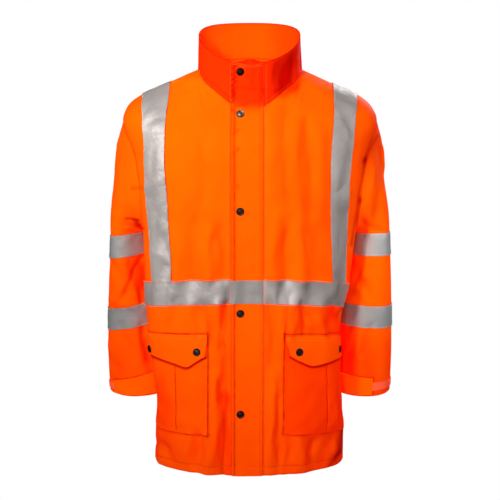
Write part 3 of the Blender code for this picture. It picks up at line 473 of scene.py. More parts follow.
def quarter(side, edge):
    """Grid of one front or half of the back: rows up, columns from the centre out."""
    low = level_rows(side, edge)
    start = low[-1]
    if edge == "front":
        angles = [math.asin(x / NECK_HALF) for x in (ZIP_HALF, STORM_FLAP_EDGE[side])]
        angles += [math.radians(a) for a in FRONT_NECK_ANGLES]
    else:
        angles = [math.pi - math.radians(a) for a in BACK_NECK_ANGLES]
    lines = []
    for k, angle in enumerate(angles):
        top = neck_point(side, angle)
        lines.append(rising(
            side, edge, lambda z: np.interp(z, [start[k][2], top[2]], [start[k][0], top[0]]),
            start[k][2], top[2],
        ))
        lines[-1][-1] = top

    def brace_x(brace, z):
        """The brace tape's inner edge, middle and outer edge."""
        inner, outer = at(brace, "in_" + side, z), at(brace, "out_" + side, z)
        return inner, (inner + outer) / 2, outer

    brace, body_x = BRACE_FRONT if edge == "front" else BRACE_BACK, at(BODY, side, SHOULDER_Z)
    for k in range(3):
        top = float(np.interp(0, brace_x(BRACE_FRONT, SHOULDER_Z)[k] - body_x, SHOULDER_Z))
        lines.append(rising(side, edge, lambda z: brace_x(brace, z)[k], start[6 + k][2], top))
        lines[-1][-1] = (at(BODY, side, top), at(BODY, "mid_" + side, top), top)
    outline = resample(armhole(side, edge), ARMHOLE_ROWS)
    tops = [resample(line, ARMHOLE_ROWS) for line in lines]
    last = tops[-1]
    inner, outer = (section_angle(side, edge, line) for line in (last, outline))
    late = (1 - np.linspace(0, 1, ARMHOLE_ROWS + 1)) ** 4
    for share, first in ((1 / 3, start[9]), (2 / 3, start[10])):
        angle = blend(inner, outer, share)
        z = blend(last[:, 2], outline[:, 2], share)
        angle += late * (section_angle(side, edge, first[None])[0] - angle[0])
        z += late * (first[2] - z[0])
        tops.append(on_section(side, edge, angle, z))
    tops.append(outline)
    grid = np.concatenate([low[:-1], np.array(tops).transpose(1, 0, 2)])
    grid[..., 0] *= SIDES[side]
    return grid


def beyond(edge, inner):
    """A row or column past an edge, straight on."""
    return 2 * edge - inner


def longer(rows):
    """Rows with one more at each end, straight on."""
    return np.concatenate([[beyond(rows[0], rows[1])], rows, [beyond(rows[-1], rows[-2])]])


def padded(grid, left, right, below, above):
    """The grid with one more row and column on each side."""
    wide = np.concatenate([left[:, None], grid, right[:, None]], axis=1)
    return np.concatenate([[longer(below)], wide, [longer(above)]])


def normals(pad, flip):
    """Normals of a padded grid's own points."""
    return unit(np.cross(pad[1:-1, 2:] - pad[1:-1, :-2], pad[2:, 1:-1] - pad[:-2, 1:-1]) * flip)


def with_neighbours(quarters):
    """Each quarter padded with the rows and columns that lie across its seams."""
    under = len(LEVELS)
    pads = {}
    for (side, edge), grid in quarters.items():
        other = quarters[side, "back" if edge == "front" else "front"]
        across = quarters["left" if side == "right" else "right", edge]
        centre = across[:, 1] if edge == "back" else grid[:, 1] * (-1, 1, 1)
        outside = beyond(grid[:, -1], grid[:, -2])
        outside[:under] = other[:under, -2]
        above = beyond(grid[-1], grid[-2])
        above[NECK_COLUMN:] = other[-2, NECK_COLUMN:]
        pads[side, edge] = padded(grid, centre, outside, beyond(grid[0], grid[1]), above)
    return pads


def fold_heights(points, edge):
    """Height of the large folds at each point."""
    height = np.zeros(points.shape[:-1])
    for *line, breadth, tall in FOLDS[edge]:
        _, off, past, _ = beside(points[..., 0], points[..., 2], *line)
        height += tall * np.exp(-(off / breadth) ** 2 - (past / (2.5 * breadth)) ** 2)
    return height


def facing(side, edge):
    """The sign that turns a quarter's normals outwards."""
    return SIDES[side] * (1 if edge == "front" else -1)


def body_pads():
    """The four quarters with the folds pressed in, still at the seams, and padded."""
    quarters = {(side, edge): quarter(side, edge) for side in SIDES for edge in ("front", "back")}
    folded = {}
    for (side, edge), pad in with_neighbours(quarters).items():
        grid, n = pad[1:-1, 1:-1], normals(pad, facing(side, edge))
        rows, cols = np.arange(len(grid)), np.arange(grid.shape[1])
        still = ease((len(grid) - 2 - rows) / 4)[:, None] * ease((cols[-1] - cols) / 3)[None]
        if edge == "front":
            still = still * ease(cols / 2)[None]
        folded[side, edge] = grid + (fold_heights(grid, edge) * still)[..., None] * n
    return with_neighbours(folded)


def block(grid, rows, cols, lift=0.0):
    """Part of a grid, moved out along its normals.

    A grid is its points, its normals and the numbers of its rows and columns.
    """
    points, out, row, col = grid
    r, c = within(row, *rows), within(col, *cols)
    n = out[r][:, c]
    return points[r][:, c] + lift * n, n, row[r], col[c]


def joined(first, second, axis):
    """Two blocks put end to end; where they meet, the first one's points stay."""
    rest = (slice(None),) * axis + (slice(1, None),)
    return tuple(np.concatenate([a, b[rest]], axis=axis) for a, b in zip(first[:2], second[:2]))


def flipped(part, axis):
    return np.flip(part[0], axis), np.flip(part[1], axis)


def turned_round(grid):
    """A ring with its last columns put before its first."""
    points, out, row, col = grid
    col = (col + CUFF_PATCH_PAST) % SLEEVE_COLUMNS - CUFF_PATCH_PAST
    order = np.argsort(col)
    return points[:, order], out[:, order], row, col[order]


def drawn_in(points, amount=GAP / 2, ring=False):
    """The block with its edges pulled in, so that neighbours stay parted."""
    def pull(edge, inner):
        return edge + amount * (inner - edge) / np.linalg.norm(inner - edge, axis=-1, keepdims=True)

    p = points.copy()
    p[0], p[-1] = pull(points[0], points[1]), pull(points[-1], points[-2])
    if ring:
        return p
    q = p.copy()
    q[:, 0], q[:, -1] = pull(p[:, 0], p[:, 1]), pull(p[:, -1], p[:, -2])
    return q


def centre_strip(body, collar, cols, lift):
    """A strip over the front's middle, from the hem to the collar's rim."""
    right, left = (block(body[side, "front"], (0, LAST_ROW), (0, cols), lift) for side in SIDES)
    low = [np.concatenate([np.flip(a, 1), b], axis=1) for a, b in zip(right[:2], left[:2])]
    ends, rows = 2 * COLLAR_HALF, (0, COLLAR_ROWS)
    halves = block(collar, rows, (0, cols), lift), block(collar, rows, (ends - cols, ends), lift)
    high = [np.concatenate([np.flip(half[k], 1) for half in halves], axis=1) for k in range(2)]
    bend = unit(low[1][-1] + high[1][0])
    seam = low[0][-1] + lift * (bend - low[1][-1])
    points = np.concatenate([low[0][:-1], [seam], high[0][1:]])
    return points, np.concatenate([low[1][:-1], [bend], high[1][1:]])


def table_at(values, spots):
    """A row of numbers read between its places."""
    return curve(np.arange(len(values), dtype=float), np.array(values, float), spots)


def pocket(panel):
    """Rows of the pocket's inner side from its bottom seam to its mouth."""
    flat, out, rows, cols = block(panel, POCKET_ROWS, POCKET_COLS, GAP)
    up_share = table_at(POCKET_UP, rows - POCKET_ROWS[0])
    across_share = table_at(POCKET_ACROSS, cols - POCKET_COLS[0])
    rise = POCKET_DEPTH * np.outer(up_share, across_share)
    points = flat + np.maximum(rise - WALL, 0)[..., None] * out
    up = unit(points[1] - points[0])
    lean = out.copy()
    lean[0] = unit(out[0] - 0.6 * up)
    seam = flat[0] + POCKET_UNDER * up
    return np.concatenate([[seam], points]), np.concatenate([[unit(0.3 * out[0] - up)], lean])


def between(grid, row, col):
    """Points and normals at places between a grid's rows and columns."""
    points, out, rows, cols = grid
    i = np.clip(np.searchsorted(rows, row, side="right") - 1, 0, len(rows) - 2)
    j = np.clip(np.searchsorted(cols, col, side="right") - 1, 0, len(cols) - 2)
    a = ((row - rows[i]) / (rows[i + 1] - rows[i]))[..., None]
    b = ((col - cols[j]) / (cols[j + 1] - cols[j]))[..., None]
    return tuple(
        blend(blend(g[i, j], g[i, j + 1], b), blend(g[i + 1, j], g[i + 1, j + 1], b), a)
        for g in (points, out)
    )


def pocket_flap(side, grid, shares, cols):
    """The pocket flap's inner side: shares of the way down it, at these columns."""
    height = run_along(between(grid, grid[2], np.full(len(grid[2]), 6.0))[0])
    place = cols - POCKET_COLS[0]
    edge = table_at(FLAP_EDGE[side], place)
    rise = table_at(FLAP_RISE, place)
    lift = np.interp(shares, FLAP_LIFT["share"], FLAP_LIFT["lift"])
    slant = FLAP_SLANT[side] / (POCKET_COLUMNS[side][0] * POCKET_WIDTH)
    depth = FLAP_TOP[side] + np.outer(shares, edge - FLAP_TOP[side])
    row = np.interp(np.interp(POCKET_FLAP_ROW, grid[2], height) - depth, height, grid[2])
    col = cols + np.outer(shares, np.clip(1 - place, 0, 1)) * slant
    points, out = between(grid, row, col)
    return points + (np.outer(lift, rise))[..., None] * out, out


def spot(points, out, x, z):
    """Point and normal of a sheet at x and z, in the front view."""
    best = None
    for r in range(points.shape[0] - 1):
        for c in range(points.shape[1] - 1):
            a, b, d = points[r, c], points[r, c + 1], points[r + 1, c]
            across, up = (b - a)[[0, 2]], (d - a)[[0, 2]]
            det = across[0] * up[1] - across[1] * up[0]
            if abs(det) < 1e-9:
                continue
            gap = np.array([x, z]) - a[[0, 2]]
            u = (gap[0] * up[1] - gap[1] * up[0]) / det
            v = (across[0] * gap[1] - across[1] * gap[0]) / det
            miss = max(-u, u - 1, -v, v - 1)
            if best is None or miss < best[0]:
                best = (miss, r, c, min(max(u, 0), 1), min(max(v, 0), 1))
    _, r, c, u, v = best
    low, high = points[r, c : c + 2], points[r + 1, c : c + 2]
    a, b = blend(*low, u), blend(*high, u)
    left, right = blend(low, high, v)
    face = unit(np.cross(right - left, b - a))
    return blend(a, b, v), -face if np.dot(face, out[r, c]) < 0 else face


# Steps of the fine grid to one of the coarse grid
FINER = 7
# Lines of the grid that get finer steps beside them, for seams and stitching
BODY_ROW_MARKS = (1, 3, 10, 12, 14, 27)
BODY_COL_MARKS = (0.8, 1, 3, 6, 8, 9, 11)
SLEEVE_ROW_MARKS = (0, 5, 7, 10, 12, 19)
# Sewn lines: the grid's line, its place and the stretch of it that is sewn, how
# far its puckers reach, their length and height, and its trough's width and
# depth, in metres
BODY_SEWN = (
    ("row", 1, 0, 11, 0.010, 0.016, 0.0005, 0.0020, 0.0005),
    ("row", 0, 0, 11, 0.008, 0.018, 0.0004, 0.0020, 0.0),
    *(("row", row, 1, 11, 0.008, 0.018, 0.0004, 0.0020, 0.0) for row in WAIST_ROWS),
    ("col", 11, 0, 30, 0.010, 0.022, 0.0004, 0.0050, 0.0014),
    ("row", 27, 0, 11, 0.010, 0.020, 0.0003, 0.0050, 0.0010),
)
FRONT_SEWN = BODY_SEWN + (
    ("row", 10, 3, 9, 0.010, 0.020, 0.0004, 0.0020, 0.0),
    *(("col", col, 3, 10, 0.008, 0.020, 0.0004, 0.0030, 0.0004) for col in POCKET_COLS),
)
SLEEVE_SEWN = (
    *(("row", row, 0, 20, 0.008, 0.018, 0.0004, 0.0020, 0.0) for row in (5, 7, 10, 12)),
    ("row", 18.6, 0, 20, 0.008, 0.016, 0.0004, 0.0020, 0.0003),
)
# Painted shade in dark lines beside sewn lines and edges: the grid's line, its place and
# stretch, its width in metres and how dark it is
BODY_SHADE_LINES = (
    ("row", 1, 0, 11, 0.0014, 0.6), ("row", 0, 0, 11, 0.0020, 0.8), ("row", 27, 0, 11, 0.0018, 0.55),
    *(("row", row, 0, 11, 0.0013, 0.5) for row in WAIST_ROWS),
    *(("col", col, 14, 27, 0.0012, 0.5) for col in BRACE_COLS),
    ("col", 11, 17, 27, 0.0024, 0.8), ("col", 11, 0, 17, 0.0012, 0.4),
)
FRONT_SHADE_LINES = BODY_SHADE_LINES + (
    ("col", 1, 0, 27, 0.0026, 1.0), *(("col", col, 3, 10, 0.0030, 1.0) for col in POCKET_COLS),
    ("row", 3, 3, 9, 0.0046, 1.0), ("row", 10, 3, 9.6, 0.0024, 0.9),
)
SIDE_SHADE_LINES = {"right": (), "left": (("col", 11, 17, 27, 0.005, 0.75),)}
SLEEVE_SHADE_LINES = (
    ("row", 0, 0, 20, 0.0024, 0.65), ("row", 19, 0, 20, 0.0012, 0.35),
    *(("row", row, 0, 20, 0.0013, 0.5) for row in (5, 7, 10, 12)),
)
COLLAR_SHADE_LINES = (
    ("row", 0, 0, 20, 0.0030, 0.9), ("row", 0.5, 0, 20, 0.0018, 0.7), ("row", 4, 0, 20, 0.0026, 1.0),
)
FLAP_SHADE_LINES = (("col", -0.8, -999, 99, 0.0020, 0.8), ("col", 0.8, -999, 99, 0.0014, 0.35))
# Painted shade in soft places in the front, where the cloth is tucked away. This and each
# table below has a line from (x0, z0) to (x1, z1) in mm, its half breadth, and how dark it
# is or, for a crease, its height in mm.
FRONT_SHADE = (
    (206, -793, 195, -862, 7.9, 0.66), (197, -856, 175, -894, 7.9, 0.59),
    (211, -779, 211, -847, 6.8, 0.63), (-260, -428, -244, -514, 9, 0.45),
    (-242, -581, -233, -649, 6.8, 0.6), (-262, -338, -242, -352, 4, 0.7),
    (-266, -262, -242, -262, 3.1, 0.5), (285, -145, 258, -199, 4.5, 0.62),
    (258, -199, 247, -289, 5, 0.65), (247, -289, 229, -388, 4.5, 0.62),
    (242, -460, 229, -496, 6.8, 0.33), (-57, -743, -62, -910, 4, 0.55), (229, -536, 226, -581, 5.4, 0.6),
    (208, -712, 208, -802, 4, 0.5), (206, -615, 206, -721, 4, 0.55), (208, -525, 197, -550, 5, 0.6),
    (208, -550, 211, -586, 4, 0.45),
)
# Painted shade in soft places in the collar
COLLAR_SHADE = (
    (58, 26, 58, -46, 10.1, 0.31), (76, 35, 73, -50, 11.2, 0.31), (91, 44, 89, -41, 10.1, 0.35),
    (26, -46, 58, -43, 3.6, 0.4), (107, 49, 78, -19, 12.4, 0.35), (67, 31, 67, -50, 14.6, 0.37),
    (89, -46, 58, -70, 6.8, 0.28), (89, 35, 82, -41, 11.2, 0.4), (-37, 13, -37, -64, 2.7, 0.33),
    (4, 8, 26, -41, 11.2, 0.31), (40, -59, 67, -68, 3.1, 0.28),
)
# Creases in the body's front
FRONT_CREASES = (
    (44, -109, 49, -266, 11.2, 2.97), (78, -86, 82, -289, 11.2, -4.05),
    (103, -131, 112, -322, 11.2, 4.05), (130, -109, 139, -311, 11.2, -4.05),
    (157, -131, 161, -334, 11.2, 3.1), (58, -345, 49, -457, 11.2, 4.59),
    (85, -367, 80, -469, 11.2, -6.08), (112, -356, 118, -469, 11.2, 6.08),
    (145, -367, 152, -469, 14, -5.27), (-64, -356, -57, -457, 11.2, -6.08),
    (-91, -367, -95, -464, 11.2, 6.08), (-122, -345, -131, -464, 14, -5),
    (-158, -322, -163, -446, 14, 4.19), (-190, -379, -185, -464, 11.2, -4.19),
    (-158, -131, -145, -289, 19.8, 3.51), (-102, -154, -113, -311, 19.8, -3.51),
    (-55, -527, -64, -615, 8.5, -10.08), (-73, -527, -55, -626, 8.5, 6.48),
    (-102, -532, -82, -604, 11.2, -5.76), (-136, -527, -129, -581, 11.2, 5.04),
    (-170, -527, -181, -570, 11.2, -5.04), (-57, -626, -62, -739, 8.5, -8.52),
    (-57, -739, -59, -910, 8.5, -12.12), (-77, -694, -82, -896, 11.2, 7.8),
    (49, -527, 55, -649, 11.2, -7.2), (76, -527, 73, -626, 11.2, 7.8), (100, -527, 94, -592, 11.2, 9.36),
    (118, -527, 123, -581, 8.5, -8.52), (152, -527, 161, -581, 11.2, 7.2),
    (184, -527, 179, -581, 11.2, -7.2), (51, -694, 46, -896, 11.2, 6.48),
    (67, -739, 64, -905, 8.5, -7.2), (-208, -835, -181, -867, 8.5, -9.36),
    (202, -784, 186, -853, 11.2, 4.2), (186, -853, 168, -889, 11.2, 7.2),
    (-136, -829, -136, -905, 14, 8.52), (-95, -829, -95, -910, 11.2, 8.52),
    (-118, -829, -118, -905, 11.2, -10.08), (112, -833, 118, -896, 14, 7.8),
    (141, -838, 139, -892, 11.2, -8.52), (89, -833, 89, -901, 11.2, -6.48),
)
# Creases in the sleeves' fronts
SLEEVE_CREASES = (
    (-278, -127, -264, -181, 6.8, -3.65), (-264, -259, -233, -264, 3.6, -4.59),
    (-271, -334, -239, -347, 5, -7.83), (-275, -352, -239, -358, 4.5, 3.65),
    (-246, -428, -278, -496, 7.9, -7.83), (-266, -433, -244, -514, 9, -5.94),
    (-320, -428, -284, -460, 9, -3.65), (-311, -514, -275, -527, 6.8, 3.24),
    (-242, -581, -233, -649, 9, -6.88), (-293, -577, -264, -622, 9, -3.24),
    (-316, -615, -289, -653, 9, 2.7), (242, -460, 224, -496, 6.8, -5.94), (229, -428, 260, -491, 9, -5),
    (274, -428, 251, -460, 6.8, 3.38), (274, -572, 251, -631, 9, -3.65), (238, -581, 224, -640, 9, -5),
    (301, -176, 287, -322, 9, -3.65), (278, -210, 269, -345, 9, 3.24),
    (260, -345, 292, -361, 6.8, -4.19),
)
# Soft places in the front with painted shade: the cloth is painted a deeper red-orange there
RED_SHADE_PLACES = (
    (-282, -581, -280, -705, 27, 0.18), (256, -615, 260, -705, 29.2, 0.3),
    (226, -592, 229, -694, 9, 0.5), (226, -419, 224, -460, 6.8, 0.5), (-53, -739, -53, -910, 10.1, 0.55),
    (-62, -527, -55, -739, 9, 0.35), (-77, -829, -75, -910, 11.2, 0.2),
    (-190, -705, -185, -802, 20.2, 0.35), (-203, -829, -170, -856, 13.5, 0.25),
    (78, -536, 80, -592, 9, 0.45), (116, -543, 121, -577, 11.2, 0.55),
    (136, -543, 139, -577, 11.2, 0.48), (157, -543, 159, -577, 11.2, 0.48),
    (177, -543, 177, -577, 11.2, 0.48), (193, -536, 193, -586, 9, 0.55),
    (170, -154, 172, -446, 11.2, 0.3), (152, -289, 152, -451, 11.2, 0.15),
    (121, -345, 123, -446, 9, 0.12), (103, -829, 105, -896, 13.5, 0.2),
    (125, -833, 125, -892, 13.5, 0.15), (148, -833, 145, -887, 13.5, 0.15),
    (170, -840, 161, -883, 11.2, 0.4), (-39, -64, -39, -896, 5.6, 0.25),
    (217, -570, 217, -727, 13.5, 0.75), (312, -615, 310, -712, 9, 0.4),
    (-233, -615, -226, -667, 11.2, 0.6), (98, -543, 100, -581, 9, 0.4), (-251, -428, -244, -514, 9, 0.6),
    (-302, -518, -257, -478, 9, 0.35), (260, -615, 274, -705, 18, 0.3),
    (-203, -705, -199, -784, 18, 0.3), (112, -7, 100, -32, 10.1, 0.8), (98, -37, 71, -52, 7.9, 0.8),
    (89, -176, 112, -289, 31.5, 0.12), (193, -527, 179, -563, 11.2, 0.4),
    (-242, -437, -242, -478, 6.8, 0.6), (-309, -615, -293, -676, 15.8, 0.25),
)
# Creases in the tapes' fronts
TAPE_CREASES = (
    (-62, -464, -64, -532, 13.5, 2.4), (107, -464, 109, -532, 12.4, 2.6), (58, -464, 55, -532, 6.8, 1.6),
    (-176, -464, -179, -532, 11.2, 1.6), (-116, -464, -111, -532, 13.5, 1.2),
    (17, -464, 19, -532, 5.6, 1.2), (-32, -464, -35, -532, 6.8, 1), (-226, -257, -190, -239, 6.8, 1.6),
    (-228, -347, -185, -334, 5.6, 1.2), (-221, -401, -181, -428, 6.8, 1.2),
    (-235, -154, -203, -104, 9, 0.5), (-208, -280, -219, -325, 9, 0.8), (188, -82, 226, -154, 7.9, 1.8),
    (181, -304, 222, -307, 4.5, 1.4), (186, -401, 222, -428, 6.8, 1), (202, -199, 193, -289, 9, 1.2),
)
# Painted shade on facets of the tapes
TAPE_SHADE = (
    (-154, -464, -149, -532, 14.6, 0.3), (-53, -464, -55, -532, 7.9, 0.35),
    (64, -464, 62, -532, 5, 0.35), (125, -464, 127, -532, 9, 0.3), (145, -464, 148, -532, 11.2, 0.25),
    (168, -464, 170, -532, 11.2, 0.25), (193, -464, 193, -532, 11.2, 0.3),
    (202, -316, 202, -457, 20.2, 0.08), (-208, -277, -203, -379, 18, 0.12),
    (-215, -68, -208, -176, 18, 0.14),
)
# Painted shade of puckers along the storm flap's stitching
FLAP_SHADE = (
    (-23, -34, 26, -41, 4, 0.3), (-32, -79, -10, -73, 3.6, 0.55), (-10, -86, 26, -91, 4.5, 0.2),
    (-41, 6, -32, 13, 3.4, 0.9), (-41, -7, -32, -1, 3.4, 0.9), (-41, -19, -32, -12, 3.4, 0.95),
    (-41, -32, -32, -23, 3.4, 0.9), (-41, -43, -35, -37, 3.4, 0.9), (-41, -57, -35, -48, 3.4, 0.95),
    (-41, -70, -35, -61, 3.4, 0.8), (-41, -86, -32, -93, 3.1, 0.6), (-37, -140, -28, -133, 3.1, 0.5),
    (-37, -181, -28, -174, 3.1, 0.5), (-37, -264, -28, -257, 3.1, 0.5), (26, 13, 28, -64, 3.6, 0.45),
    (8, 4, 6, -28, 6.8, 0.3),
)
# Small wrinkles that stand out of the storm flap
FLAP_CREASES = (
    (17, -32, 55, -41, 4.5, 1), (-32, -79, -14, -82, 3.6, 0.9), (-37, -142, -19, -133, 3.1, 0.8),
    (-37, -181, -23, -172, 3.1, 0.7), (-37, -273, -23, -259, 3.1, 0.9), (-32, -300, -19, -309, 3.1, 0.7),
    (4, -379, -1, -457, 6.8, 0.8), (-32, -581, -23, -615, 4.5, 0.9), (-23, -727, -32, -761, 4.5, 0.8),
    (-28, -795, -14, -829, 4.5, 0.8),
)
# Creases in the collar's front
COLLAR_CREASES = (
    (-41, 17, -44, -86, 5.6, -1.8), (-66, 4, -62, -73, 6.8, 0.8), (-86, 26, -82, -41, 9, -1),
    (35, -59, 76, -73, 4.5, 1.4), (105, 26, 98, -46, 5.6, 1.4),
)
# Creases in the back, straight on
BACK_CREASES = (
    (-60, -50, -70, -260, 14, 3.8), (-20, -60, -14, -280, 12, -3.8), (40, -80, 46, -300, 14, 3.5),
    (95, -60, 88, -240, 12, -3.1), (-105, -90, -98, -260, 12, 2.8), (-45, -480, -52, -600, 10, 4.8),
    (10, -470, 6, -640, 12, -5.2), (60, -480, 66, -590, 10, 4.8), (120, -500, 112, -640, 12, -4.3),
    (-110, -490, -118, -620, 12, -4.3), (-160, -520, -166, -700, 12, 3.8),
    (170, -520, 176, -720, 12, 3.8), (-80, -640, -84, -850, 12, 4.8), (-30, -680, -26, -860, 10, -5.2),
    (35, -660, 30, -850, 12, 4.8), (90, -680, 96, -860, 10, -4.8), (150, -700, 146, -850, 10, 3.8),
    (-30, -20, 40, -32, 7, -2.8),
)
# Creases in the sleeves' backs, across and up
SLEEVE_BACK_CREASES = (
    (300, -250, 260, -300, 9, -6.2), (280, -300, 310, -345, 10, 4.3), (270, -130, 290, -210, 10, -3.5),
    (300, -420, 275, -455, 9, -5.2), (255, -470, 262, -520, 9, 3.8),
)
# Creases in the collar's back
COLLAR_BACK_CREASES = (
    (-40, 30, -34, 80, 9, 1), (20, 20, 26, 85, 9, -1.2), (60, 30, 52, 80, 8, 1),
)
# How much a crease's course and breadth waver
WAVER = 0.25
# How much painted shade, as a deeper red-orange, each pocket has
POCKET_RED_SHADE = {"right": 0.12, "left": 0.62}
# How the waist tape's crinkles are drawn out
ALONG_WAIST = (1, 1, 0.12)
# Stitching round a sleeve stops short of its own start
ROUND_SLEEVE = 19.8
# Colour of a painted glow: the orange cloth, its threads, zip and loop patches give off red light of their
# own though they are no lamp, standing in for the fluorescent dye
PAINTED_GLOW = (1.0, 0.0, 0.0)
TOOTH_FACES = (
    (3, 2, 1, 0), (4, 5, 6, 7), (0, 1, 5, 4), (1, 2, 6, 5), (2, 3, 7, 6), (3, 0, 4, 7),
)
# Half profiles of the snap caps, from the middle of the face to the back
CAP = (
    (0, .0021), (.0018, .0021), (.0034, .0018), (.0046, .00135), (.0052, .0013), (.0060, .0020),
    (.0071, .0022), (.0079, .0017), (.0085, .0008), (.0086, .0001), (.0083, 0), (0, 0),
)
CAP_PLAIN = (
    (0, .0028), (.0023, .0027), (.0044, .0024), (.0062, .0018), (.0076, .0011), (.0083, .0004),
    (.0085, .0001), (.0082, 0), (0, 0),
)


def weights(spots, count):
    """Weights of a padded line's points for places along a smooth curve through them."""
    i = np.clip(np.floor(spots).astype(int), 0, count - 2)
    t = spots - i
    shares = (
        -t / 2 + t ** 2 - t ** 3 / 2, 1 - 2.5 * t ** 2 + 1.5 * t ** 3,
        t / 2 + 2 * t ** 2 - 1.5 * t ** 3, (t ** 3 - t ** 2) / 2,
    )
    out = np.zeros((len(spots), count + 2))
    for k, share in enumerate(shares):
        out[np.arange(len(spots)), i + k] = share
    return out


def ticks(count, parts, marks=()):
    """Places along a line of count points, with more of them beside marked lines."""
    spots = np.arange((count - 1) * parts + 1) / parts
    extra = [m + s for m in marks for s in (-0.09, -0.04, 0, 0.04, 0.09)]
    return np.unique(np.round(np.clip(np.concatenate([spots, extra]), 0, count - 1), 5))


def fine_normals(points, rows, cols, ring=False):
    """Normals of a fine grid, from its slopes. Rows and columns may be uneven."""
    if ring:
        points = np.concatenate([points[:, -2:], points, points[:, :2]], axis=1)
        cols = np.concatenate([cols[-2:] - SLEEVE_COLUMNS, cols, cols[:2] + SLEEVE_COLUMNS])
    up = np.gradient(points, rows, axis=0, edge_order=2)
    across = np.gradient(points, cols, axis=1, edge_order=2)
    n = unit(np.cross(across, up))
    return n[:, 2:-2] if ring else n


def seen(points):
    """Where points are in the front picture: across and up, in mm at the jacket's middle."""
    y, z = points[..., 1], points[..., 2] - TARGET
    near = 1 + (math.cos(TILT) * y - math.sin(TILT) * z) / DISTANCE
    up = (math.sin(TILT) * y + math.cos(TILT) * z) / near + TARGET
    return 1000 * points[..., 0] / near, 1000 * up


def straight(points):
    """Across and up in mm, straight on."""
    return 1000 * points[..., 0], 1000 * points[..., 2]


def wander(points, scale, seed, stretch=(1, 1, 1)):
    """Soft uneven waves between about -1 and 1, of about this length."""
    rng = np.random.default_rng(seed)
    total = np.zeros(points.shape[:-1])
    for _ in range(7):
        way = rng.normal(size=3) * stretch
        way *= 2 * math.pi / scale / np.linalg.norm(way) * rng.uniform(0.6, 1.6)
        total += np.sin(points @ way + rng.uniform(0, 6.3)) * rng.uniform(0.6, 1)
    return total / 3


def creased(points, lines, flat):
    """Height of listed creases. flat: the points' places in that table's picture."""
    height = np.zeros(points.shape[:-1])
    for x0, z0, x1, z1, breadth, tall in lines:
        along, off, past, length = beside(*flat, x0, z0, x1, z1)
        off = off + WAVER * breadth * np.sin(along / length * 5 + x0)
        wide = breadth * (1 + WAVER * np.sin(along / 17 + z0))
        height += tall * np.exp(-(off / wide) ** 2 - (past / (1.6 * breadth)) ** 2)
    return height / 1000


def line_distance(grid, row=None, col=None):
    """Distance of each point from one of the grid's lines, measured in the cloth."""
    points, _, rows, cols = grid
    axis, spots, place = (0, rows, row) if col is None else (1, cols, col)
    run = run_along(points, axis)
    return np.abs(run - np.take(run, [int(np.argmin(np.abs(spots - place)))], axis))


def by_line(grid, kind, place, low, high, soft):
    """Distance from a line, and 1 beside its stretch from low to high, fading past that."""
    along = grid[2][:, None] if kind == "col" else grid[3][None]
    held = ease((along - low) / soft + 1) * ease((high - along) / soft + 1)
    return line_distance(grid, **{kind: place}), held


def sewn(grid, lines, seed):
    """Trough and small puckers along sewn lines."""
    height = np.zeros(grid[0].shape[:-1])
    for kind, place, low, high, reach, pitch, tall, wide, deep in lines:
        off, held = by_line(grid, kind, place, low, high, 0.5)
        stretch = (0.15, 0.15, 1) if kind == "col" else (1, 1, 0.15)
        wave = wander(grid[0], pitch, seed + int(place * 7), stretch)
        part = tall * wave * np.exp(-(off / reach) ** 2) - deep * np.exp(-(off / wide) ** 2)
        height += part * held
    return height


def painted_shade_lines(grid, lines, height=None, deep=0.0):
    """Painted shade beside its lines, and in its grooves."""
    total = np.zeros(grid[0].shape[:-1])
    for kind, place, low, high, wide, dark in lines:
        off, held = by_line(grid, kind, place, low, high, 0.3)
        total = np.maximum(total, dark * np.exp(-(off / wide) ** 2) * held)
    if height is not None:
        total = np.maximum(total, deep * np.clip(-height / 0.005, 0, 1))
    return total * (0.8 + 0.2 * wander(grid[0], 0.03, 77))


def shaded(dark, points, lines, share=1.0):
    """The painted shade with soft places of painted shade added."""
    return np.clip(np.maximum(dark, 1000 * share * creased(points, lines, seen(points))), 0, 1)


def moved(grid, height, flip, ring=False):
    """The grid with its points moved out by a height, and its normals made again."""
    points, out, rows, cols = grid
    points = points + height[..., None] * out
    return points, fine_normals(points, rows, cols, ring) * flip, rows, cols


def smooth_body():
    """The four quarters on a finer grid, through the same points."""
    body = {}
    for (side, edge), pad in body_pads().items():
        rows = ticks(pad.shape[0] - 2, FINER, BODY_ROW_MARKS)
        cols = ticks(pad.shape[1] - 2, FINER, BODY_COL_MARKS)
        across = weights(rows, pad.shape[0] - 2), weights(cols, pad.shape[1] - 2)
        points = np.einsum("ri,cj,ijk->rck", *across, pad)
        # The kink at the neck's column is evened out, above the underarm
        share = 0.5 * np.exp(-((cols - NECK_COLUMN) / 0.9) ** 2)[None, 1:-1]
        high = ease((rows - len(LEVELS) + 1) / 3) * ease((LAST_ROW - rows) / 1.2)
        share = (share * high[:, None])[..., None]
        for _ in range(30):
            mean = (points[:, :-2] + points[:, 2:]) / 2
            points[:, 1:-1] += share * (mean - points[:, 1:-1])
        body[side, edge] = points, fine_normals(points, rows, cols) * facing(side, edge), rows, cols
    return welded(body)


def in_view(out):
    """0.3 for cloth at the outline, 1 for cloth that faces forward or back."""
    return 0.3 + 0.7 * ease((np.abs(out[..., 1]) - 0.15) / 0.35)


def paint_cloth_shade(name, grid, lines, height, share):
    """Notes a piece's painted shade: how dark it is painted, and how much of a deeper red-orange."""
    SHADE_PAINT[name] = shaded(painted_shade_lines(grid, lines, height, 0.14), grid[0], FRONT_SHADE, share)
    RED_SHADE[name] = shaded(0 * height, grid[0], RED_SHADE_PLACES, share)


